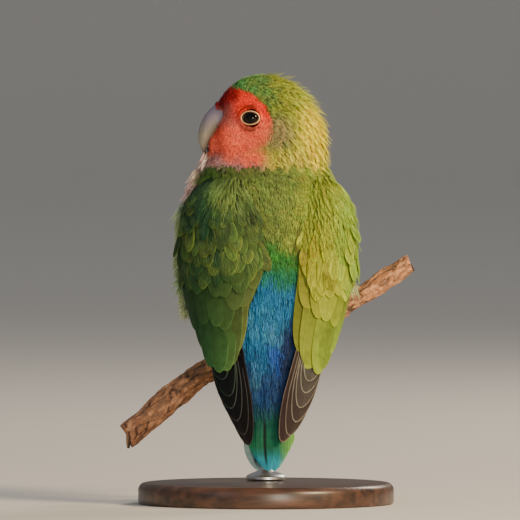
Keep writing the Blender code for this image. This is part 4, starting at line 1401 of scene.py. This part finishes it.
def covert_barbs(label, side, rng, root, tip, half, lift, colour, edge):
    """Barbs that lie over the small coverts and end just past their rims."""
    shape = (len(root), COVERT_BARBS)
    half = half[:, None]
    fan = np.clip(np.linspace(-1, 1, COVERT_BARBS)[None] + rng.normal(0, 0.5 / COVERT_BARBS, shape), -1, 1)
    at_tip = np.abs(fan) < 0.5
    round_tip = TIP_START + (1 - TIP_START) * np.sqrt(np.clip(1 - (2 * fan) ** 2, 0, 1))
    far = np.where(at_tip, round_tip, TIP_START - 0.7 * (np.abs(fan) - 0.5))
    wide = half * vane_outline(far, 0.3) * np.sign(fan)
    wide = np.where(at_tip, wide * np.clip(np.abs(fan) * 6, 0, 1), wide)
    near = np.maximum(far - 0.42 - 0.12 * rng.random(shape), 0.05)
    past = 1 + 0.1 * rng.random(shape)
    low, high = lift[:, :1], lift[:, 1:]

    def at(share, beside, out):
        height = low + (high - low) * share + 0.02 * beside + 0.06 * (1 - (beside / half) ** 2) + out
        return on_wing(side, root, tip, share, beside + 0.2 * np.sin(pi * np.clip(share, 0, 1)), height)

    start = at(near, 0.3 * wide, -0.05)
    end = at(far * past, wide * past, 0.05 + 0.12 * rng.random(shape))
    up = unit(at(far, wide, 1.0) - at(far, wide, 0.0))
    tone = (1 + rng.normal(0, 0.1, shape))[..., None]
    blades(
        f"covert_barbs_{label}", start, end, up, 0.3, 0.1,
        colour[:, None] * 0.75 * tone, edge[:, None] * 1.05 * tone, unwrapped(start[:, 0]), SHORT_BLADE,
    )


def shoulder_coat(label, side, rng):
    """Soft feathers on the upper arm, which run on from the mantle's."""
    look = COAT["scapular" if side < 0 else "shoulder"]
    low = FIRST_COVERT[side] - 5.0
    spots = rng.random((SHOULDER_SAMPLES, 2)) * (50.0, 123.5 - low) + (0.0, low)
    inner, outer = arm_edges(spots[:, 1], side)
    spots = spots[(spots[:, 0] > inner - 1.5) & (spots[:, 0] < outer - 0.5)]
    spots = spots[spaced(np.column_stack([spots, np.zeros(len(spots))]), look.spacing)]
    reach, z = spots.T
    size = look.length * (1 + rng.normal(0, 0.1, len(spots)))
    lean = (lean_of_arm(reach, z, side) + rng.normal(0, 0.08, len(spots))) * size
    root = shell(reach, z, arm_lift(reach, z, side) - 0.4, side)
    ruffle = (0.5 if side < 0 else 1.8) * ramp(reach, 31, 36) * rng.random(len(spots)) ** 2
    high = arm_lift(reach + lean, z - size, side) + 0.15 + ruffle
    tip = shell(reach + lean, z - size, high, side)
    out = unit(shell(reach, z, np.ones(len(spots)), side) - shell(reach, z, np.zeros(len(spots)), side))
    soft_feathers(f"shoulder_{label}", rng, root, tip, out, covert_colour(root, side), look)


def covert_colour(points, side):
    """The colour of a wing's small coverts: cool and dark on the left with painted shade, yellow green on the
    right with painted light.
    """
    x, _, z = points.T
    uneven = patchy(points, 5.0)
    if side > 0:
        inner, _ = arm_edges(z, side)
        tone = washed("#a9bb41", ("#a2a52e", ramp(z, 112, 92)), ("#96b83e", ramp(x, 22, 30)))
        return mix(plumage(points), tone * (1 + 0.12 * uneven)[:, None], ramp(x - inner, -1.0, 9.0))
    tone = washed(
        "#435c31",
        ("#264b2a", ramp(x, -8, -22)),
        ("#1b4229", ramp(z, 100, 110) * ramp(x, -18.5, -24)),
        ("#748c46", 0.9 * ramp(lump(x, z, -12.5, 119, 8, 8), 1.1, 0.3)),
        ("#5d793a", 0.7 * ramp(lump(x, z, -12, 97, 8, 8), 1.1, 0.3)),
        ("#55753c", 0.5 * ramp(uneven, 0.1, 0.8)),
    )
    # Painted shade along the line where the left wing closes over the mantle.
    return tone * (1 - 0.5 * wing_seam(x + 0.6, z))[:, None]


def tail():
    """Twelve tail feathers in pairs, the middle pair on top, green with bluish tips and dark shafts.

    The outermost one on the left lies turned, so that its pale underside shows.
    """
    rng = np.random.default_rng(SEED + 9)
    across, along = FINE_ACROSS[None, :], FINE_ALONG[:, None]
    half = TAIL_HALF_WIDTH * vane_outline(along, 0.3, 0.8)
    wide = half * across
    found = []
    for pair in range(TAIL_PAIRS):
        share = pair / (TAIL_PAIRS - 1)
        for side, (rise, spread) in TAIL_FAN.items():
            end = TAIL_TIP + rise * share**1.4
            fan = (1.2 + spread * share) * (0.62 + 0.38 * along)
            # Paler green over the right side's outer feathers, and pale grey over the outermost left one,
            # whose underside shows.
            outer_washes = [("#7fae4e", 0.6 * share)] if side > 0 else []
            if side < 0 and share == 1:
                end = TAIL_TIP + 0.2
                fan = 5.6 - 2.2 * along**3
                outer_washes = [("#5d7278", 0.9)]
            length = TAIL_ROOT - end
            z = TAIL_ROOT - length * along + 0 * across
            x = side * (fan + wide) + 0.4 + 1.6 * (1 - share) * along**4
            y = np.interp(z, *TAIL_SLOPE) + 0.36 * pair + 0.06 * wide - 0.15 * (1 - across**2)
            if side > 0 and pair == 0:
                y = y + 0.12
            tone = washed(
                "#0d463e",
                ("#196a40", ramp(z, 34, 24) * (0.4 + 0.6 * share)),
                ("#1f788e", ramp(z + 1.5 * side * share, 22.5, 17) * (1 - 0.5 * share)),
                *outer_washes,
            )
            rim = np.minimum(half * (1 - np.abs(across)), (1 - along) * length * 0.6)
            tone = washed(
                tone * (1 + rng.normal(0, 0.04)),
                (tone * 1.5, ramp(rim, 0.34, 0.08)),
                ("#08100d", ramp(np.abs(across), 0.08, 0.04) * ramp(along, 0.97, 0.8)),
            )
            top = np.stack([x, y, z], axis=-1)
            found.append((top, top + (0, VANE_THICK, 0), tone, length * along - 1.2 * np.abs(wide)))
    joined = [np.stack(column) for column in zip(*found)]
    vanes("tail_feathers", "tail plumage", "flight", *joined, replaced=("tail",))


# Head pieces


def horn(name, table, first, last, along=44, ridge=0.0, swell=0.0):
    """One half of the bill, through oval sections between its two profile lines."""
    row = smooth_table([(i, *values) for i, values in enumerate(table)])

    def place(turn, share):
        top_x, top_z, low_x, low_z, half = row(first + (last - first) * share)
        middle = np.array([(top_x + low_x) / 2, (top_z + low_z) / 2])
        reach = np.array([(top_x - low_x) / 2, (top_z - low_z) / 2])
        grown = swell * sin(pi * min(share * 1.15, 1.0)) ** 0.5
        spot = middle + reach * cos(turn) * (1 + grown / np.hypot(*reach))
        sharp = 1 - ridge * max(0.0, cos(turn)) ** 3
        return Vector((spot[0], HEAD_Y + (half + grown) * sin(turn) * sharp, spot[1]))

    mesh = bm_mesh(name, wrapped(40, along, place))
    mesh.set_sharp_from_angle(angle=radians(50))
    return mesh


def bill():
    """Both halves of the bill: pale horn, mauve grey along the ridge and darker at the hooked tip."""
    cere = horn("cere_skin", UPPER_BILL, 0.0, CERE_END + 0.06, along=20, ridge=0.25, swell=CERE_SWELL)
    set_tint(cere, linear("#8a7f8c"))
    piece(cere, "cere", ("cere",))
    upper = horn("upper_bill_horn", UPPER_BILL, CERE_END, 7, ridge=0.25)
    x, _, z = points_of(upper).T
    set_tint(upper, washed(
        "#958c7c",
        ("#898090", ramp(z, 138, 146)),
        ("#7a7058", ramp(x, -22.5, -18.5) * ramp(z, 146, 139)),
        ("#3b3026", ramp(z, 134.5, 131.0)),
    ))
    piece(upper, "horn", ("upper_bill",))
    lower = horn("lower_bill_horn", LOWER_BILL, 0.1, 3, along=24)
    # The lower bill is dark, darkest towards its tip: painted shade under the upper bill's hook.
    set_tint(lower, washed("#6a5c4c", ("#211a15", ramp(points_of(lower)[:, 0], -17, -20))))
    piece(lower, "horn", ("lower_bill",))


def facing(side):
    """The transform that takes the origin to an eye's middle and +Z to the way it looks."""
    centre, aim = EYES[side]
    aim = Vector(aim)
    along = aim.cross(Vector((0, 0, 1))).normalized()
    turn = Matrix((along, along.cross(aim), aim)).transposed().to_4x4()
    return Matrix.Translation(Vector(centre)) @ turn


def eye(label, side):
    """An eyeball with a wet cornea over a dark brown iris, sunk behind its lids."""
    bm = bmesh.new()
    bmesh.ops.create_uvsphere(bm, u_segments=48, v_segments=40, radius=EYE_RADIUS)
    wide, high = LID_RIM
    away, past = [], []
    for vert in bm.verts:
        x, y, z = vert.co
        vert.co.z = z + CORNEA_RISE * max(0.0, z / EYE_RADIUS) ** 6
        away.append(vert.co.xy.length + 9 * (z < 0))
        past.append(hypot(x / wide, y / high) if z > 0 else 2.0)
    for vert, share in zip(bm.verts, ramp(past, 0.92, 1.3)):
        vert.co.z -= EYE_SINK * share
    bmesh.ops.transform(bm, matrix=facing(side), verts=bm.verts)
    mesh = bm_mesh(f"eyeball_{label}", bm)
    # The deep red where the ball sinks past the rim is painted shade of the face skin in the hollow round the
    # lids.
    set_tint(mesh, washed(
        "#020202",
        ("#24130a", ramp(away, PUPIL_RADIUS - 0.1, PUPIL_RADIUS + 0.15)),
        ("#060403", ramp(away, 2.6, 2.85)),
        ("#8c2a1c", ramp(past, 0.98, 1.04)),
    ))
    piece(mesh, "eye", (f"eye_{label}",))
    eyelids(label, side)


def eyelids(label, side):
    """The brown grainy skin of both lids, and the pale rim of bare skin round them."""

    def oval(half, angle):
        return Vector((half[0] * cos(angle), half[1] * sin(angle), 0))

    def rim_height(angle):
        return LID_RIM_HEIGHT + LID_RIM_ARCH * sin(angle) ** 2

    def lid(turn, share):
        angle = 2 * pi * share
        outward = (1 + cos(turn)) / 2
        opening = oval(LID_OPENING, angle)
        ball = (EYE_RADIUS**2 - opening.length_squared) ** 0.5 + 0.2
        spot = opening.lerp(oval(LID_RIM, angle), outward)
        grain = 0.05 * sin(26 * angle) * sin(pi * outward)
        spot.z = ball + (rim_height(angle) - ball) * outward + 0.14 * sin(turn) + grain
        return spot

    def rim(turn, share):
        angle = 2 * pi * share
        spot = oval([half + LID_RIM_WIDTH * cos(turn) for half in LID_RIM], angle)
        spot.z = rim_height(angle) - 0.35 + 0.7 * sin(turn)
        return spot

    for name, place, code in (("eyelid", lid, "#3d2312"), ("eye_rim", rim, "#f6c48e")):
        bm = wrapped(16, 104, place)
        bmesh.ops.transform(bm, matrix=facing(side), verts=bm.verts)
        mesh = bm_mesh(f"{name}_{label}", bm)
        set_tint(mesh, linear(code))
        piece(mesh, "lid")


# Feet, perch and stand


# Where each foot stands along the perch.
FEET = (("left", -10.0), ("right", 9.5))
# Its toes: the way each goes round the perch, its place beside the foot's middle, and its reach in degrees.
TOES = ((1, -2.6, 112), (1, 1.6, 120), (-1, -1.9, 106), (-1, 2.5, 96))
# A claw from base to tip: share, degrees past its toe's reach, rise over the claw's base, and radius.
CLAW = [
    (0.0, -10.0, 0.0, 0.95),
    (0.25, 7.0, 0.3, 0.9),
    (0.5, 22.0, 0.5, 0.7),
    (0.75, 40.0, 0.5, 0.42),
    (1.0, 60.0, 0.0, 0.1),
]
# How far a claw's base lies above the bark.
CLAW_BASE = 1.96


def foot(label):
    """The scaly skin of a foot, rounded by subdivision."""
    bm = node_bm(f"foot_{label}")
    bmesh.ops.remove_doubles(bm, verts=bm.verts, dist=0.002 * MM)
    bmesh.ops.join_triangles(bm, faces=bm.faces, angle_face_threshold=0.7, angle_shape_threshold=1.2)
    obj = piece(plain_mesh(f"foot_skin_{label}", bm), "foot", (f"foot_{label}",))
    rounding = obj.modifiers.new("Rounding", "SUBSURF")
    rounding.levels = rounding.render_levels = 1


def perch_point(x):
    """The middle of the perch at a place along it."""
    return Vector((x, PERCH_Y + PERCH_LEAN * x, perch_row(x)[0]))


def perch_way(x):
    """The way the perch runs, towards the right."""
    return (perch_point(x + 1) - perch_point(x - 1)).normalized()


def claw(toe, x, way, beside, reach):
    """A claw, curved round the perch from inside its toe's end to a sharp tip."""
    along = perch_way(x)
    forward = Vector((0, 1, 0))
    forward = (forward - along * forward.dot(along)).normalized()
    up = forward.cross(along)
    up = up if up.z > 0 else -up
    centre = perch_point(x) + along * beside
    radius = perch_row(x)[1] + CLAW_BASE
    row = smooth_table(CLAW)

    def middle(share):
        turn, rise, _ = row(share)
        angle = radians(reach + turn)
        return centre + (up * cos(angle) + forward * way * sin(angle)) * (radius + rise)

    def place(turn, share):
        ahead = (middle(min(share + 0.02, 1.0)) - middle(max(share - 0.02, 0.0))).normalized()
        side = ahead.cross(along).normalized()
        thick = row(share)[2]
        return middle(share) + (along * 0.85 * cos(turn) + side * sin(turn)) * thick

    mesh = bm_mesh(f"claw_horn_{toe}", wrapped(20, 24, place))
    from_base = np.linalg.norm(points_of(mesh) - np.array(middle(0.0)), axis=1)
    set_tint(mesh, washed("#4a4038", ("#1f1a17", ramp(from_base, 1.0, 5.0))))
    piece(mesh, "claw", (f"claw_{toe}",))


def feet():
    """Both feet and their claws."""
    for label, x in FEET:
        foot(label)
        for number, toe in enumerate(TOES, 1):
            claw(f"{label}_{number}", x, *toe)


def perch():
    """The branch, with long cracks and flakes in its bark and two sawn ends."""
    start, end = PERCH[0][0], PERCH[-1][0]
    xs = np.linspace(start - 1, end + 1, 2 * PERCH_STEPS)
    z, radius = perch_row(xs)
    middle = np.stack([xs, PERCH_Y + PERCH_LEAN * xs, z], axis=1)
    ahead = unit(np.gradient(middle, axis=0))
    side = unit(np.cross(ahead, (0, 1, 0)))
    up = np.cross(side, ahead)
    relief = []

    def place(turn, share):
        x = start + (end - start) * share
        i = int((x - xs[0]) / (xs[1] - xs[0]) + 0.5)
        out = Vector(side[i]) * cos(turn) + Vector(up[i]) * sin(turn)
        uneven = 0.25 * sin(2 * turn + 0.31 * x) + 0.16 * sin(3 * turn - 0.53 * x)
        grain = out * radius[i] * 0.3
        spot = Vector((x * 0.085, grain.y, grain.z)) + Vector((0, 0.35 * sin(0.4 * x), 0.3 * cos(0.33 * x)))
        crack = cell_edge(spot, 0.2)
        fine = cell_edge(Vector((spot.x * 3.2, spot.y * 2.4, spot.z * 2.4)), 0.22)
        rough = noise.fractal(Vector((x * 0.35, grain.y * 3, grain.z * 3)), 1.0, 2.0, 4)
        relief.append((crack, fine, rough))
        sawn = min(x - start, end - x) < 0.4
        height = 0.0 if sawn else 0.5 * crack**0.7 + 0.2 * fine + 0.2 * rough - 0.5
        return Vector((x, middle[i][1], middle[i][2])) + out * (radius[i] + uneven + height - 0.3)

    def paint():
        crack, fine, rough = np.array(relief).T
        tone = washed("#35251d", ("#a87350", ramp(crack, 0.0, 0.6)))
        return washed(
            tone,
            (tone * 0.62, 0.8 * ramp(fine, 0.5, 0.0)),
            ("#d8a27a", 0.75 * ramp(rough + 0.3 * fine, 0.1, 0.75)),
            ("#7d6758", 0.6 * ramp(rough, -0.05, -0.6)),
        )

    bark = bm_mesh("perch_bark", wrapped(76, PERCH_STEPS, place, paint))
    piece(bark, "bark", ("perch",))
    sawn_end("sawn_end_left", start, -1)
    sawn_end("sawn_end_right", end, 1)


def cell_edge(spot, wide):
    """0 on the edges between a cell pattern's cells, up to 1 some way into them."""
    near, far = noise.voronoi(spot)[0][:2]
    return min((far - near) / wide, 1.0)


def sawn_end(name, x, way):
    """The pale wood of a sawn end, with its year rings, pith and a dark rim of bark."""
    radius = perch_row(x)[1] - 0.35
    face = [(radius * k / SAWN_RINGS, SAWN_RISE) for k in range(SAWN_RINGS + 1)]
    mesh = turned(name, [*face, (radius, -SAWN_DEPTH), (0.0, -SAWN_DEPTH)], 72)
    px, py, _ = points_of(mesh).T
    from_middle = np.hypot(px, py)
    out = np.hypot(px + 0.3, py - 0.2) + 0.12 * np.sin(3 * np.arctan2(py, px)) * from_middle / radius
    year_ring = 0.5 + 0.5 * np.sin(2 * pi * out / YEAR_RING)
    set_tint(mesh, washed(
        "#b48a62",
        ("#8a6242", year_ring**3),
        ("#5b3d2a", ramp(out, 0.5, 0.25)),
        ("#3d2a20", ramp(from_middle, radius - 0.55, radius - 0.3)),
    ))
    ahead = way * (perch_point(x) - perch_point(x - 1.0)).normalized()
    turn = ahead.to_track_quat("Z", "Y").to_matrix().to_4x4()
    mesh.transform(Matrix.Translation(perch_point(x) * MM) @ turn)
    piece(mesh, "bark")


def stand():
    """The round wooden base with a rounded edge, and the steel rod with its foot."""
    edge = 1.2
    rim = [(2.0, 0.0), (1.2, 0.2), (0.6, 0.7), (0.25 / edge, 1.3), (0.0, 2.0)]
    base = turned("stand_base_disc", [
        (0.0, 0.0), (BASE_RADIUS - edge, 0.0), (BASE_RADIUS - 0.25, 0.35), (BASE_RADIUS, edge),
        *((BASE_RADIUS - inward * edge, BASE_HEIGHT - down * edge) for inward, down in reversed(rim)),
        (0.0, BASE_HEIGHT),
    ], 160)
    piece(base, "wood", ("stand_base",))
    bottom = BASE_HEIGHT + GAP
    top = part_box("stand_rod")[1].z / MM
    foot_rim = ((-0.3, 0.0), (0.0, 0.3), (0.0, 1.2), (-0.3, 1.6), (-1.2, 2.2))
    neck = ((1.6, 3.0), (0.5, 3.6), (0.0, 4.4))
    rod = turned("stand_rod_steel", [
        (0.0, bottom),
        *((ROD_FOOT_RADIUS + out, bottom + up) for out, up in foot_rim),
        *((ROD_RADIUS + out, bottom + up) for out, up in neck),
        (ROD_RADIUS, top),
        (0.0, top),
    ], 64)
    rod.transform(Matrix.Translation((0, PERCH_Y * MM, 0)))
    piece(rod, "steel", ("stand_rod",))


# Studio


CAMERA_DISTANCE = 5.0
CAMERA_TILT = radians(1.5)
VIEW_MIDDLE = Vector((-0.00225, 0.0, 0.0915))
VIEW_WIDTH = 0.195
SENSOR = 36.0
# The floor's and wall's sizes in metres.
FLOOR_RADIUS = 6.0
WALL_BEND = 2.0
WALL_HEIGHT = 3.5


def camera():
    """A long lens behind the bird, raised a little."""
    made = bpy.data.cameras.new("camera")
    made.sensor_width = SENSOR
    made.lens = SENSOR * CAMERA_DISTANCE / VIEW_WIDTH
    made.clip_start = 0.1
    made.clip_end = 50.0
    obj = linked("camera", made)
    away = Vector((0, -cos(CAMERA_TILT), sin(CAMERA_TILT)))
    obj.location = VIEW_MIDDLE + away * CAMERA_DISTANCE
    obj.rotation_euler = (pi / 2 - CAMERA_TILT, 0, 0)
    bpy.context.scene.camera = obj


def backdrop():
    """A pale floor, which rises gently into a low wall far away on all sides."""
    bend = [
        ((FLOOR_RADIUS + WALL_BEND * sin(turn)) / MM, WALL_BEND * (1 - cos(turn)) / MM)
        for turn in np.linspace(0, pi / 2, 24)
    ]
    mesh = turned("backdrop", [(0.0, 0.0), *bend, (bend[-1][0], WALL_HEIGHT / MM)], 96)
    mesh.materials.append(finish("pale backdrop paper", "#dedbd5", Roughness=0.9)[0])
    linked("backdrop", mesh)


def lamp(name, place, size, power, code, target=(0.0, 0.0, 0.09)):
    """A round soft light, aimed at the bird."""
    made = bpy.data.lights.new(name, "AREA")
    made.shape = "DISK"
    made.size = size
    made.energy = power
    made.color = linear(code)
    obj = linked(name, made)
    obj.location = place
    obj.rotation_euler = (Vector(target) - Vector(place)).to_track_quat("-Z", "Y").to_euler()


def light():
    """Soft studio light: a warm key from the right, a cool fill from the left and an even surround."""
    lamp("key", (1.05, -0.95, 0.75), 0.42, 33.0, "#ffe0b4")
    lamp("front", (0.3, -1.35, 0.13), 0.34, 8.0, "#fff1dc", (0.0, 0.0, 0.12))
    lamp("fill", (-1.1, -1.2, 0.6), 0.9, 2.0, "#dbe8ff")
    lamp("rim", (0.8, 1.0, 0.9), 0.5, 10.0, "#fff0da")
    world = bpy.data.worlds.new("surround")
    bpy.context.scene.world = world
    world.use_nodes = True
    surround = world.node_tree.nodes["Background"]
    surround.inputs["Color"].default_value = rgba("#e6e9ee")
    surround.inputs["Strength"].default_value = 0.34


camera()
backdrop()
light()
coat(skin())
face_bristles()
loose_tufts()
for LABEL, SIDE in (("left", -1), ("right", 1)):
    wing(LABEL, SIDE)
    eye(LABEL, SIDE)
tail()
bill()
feet()
perch()
stand()
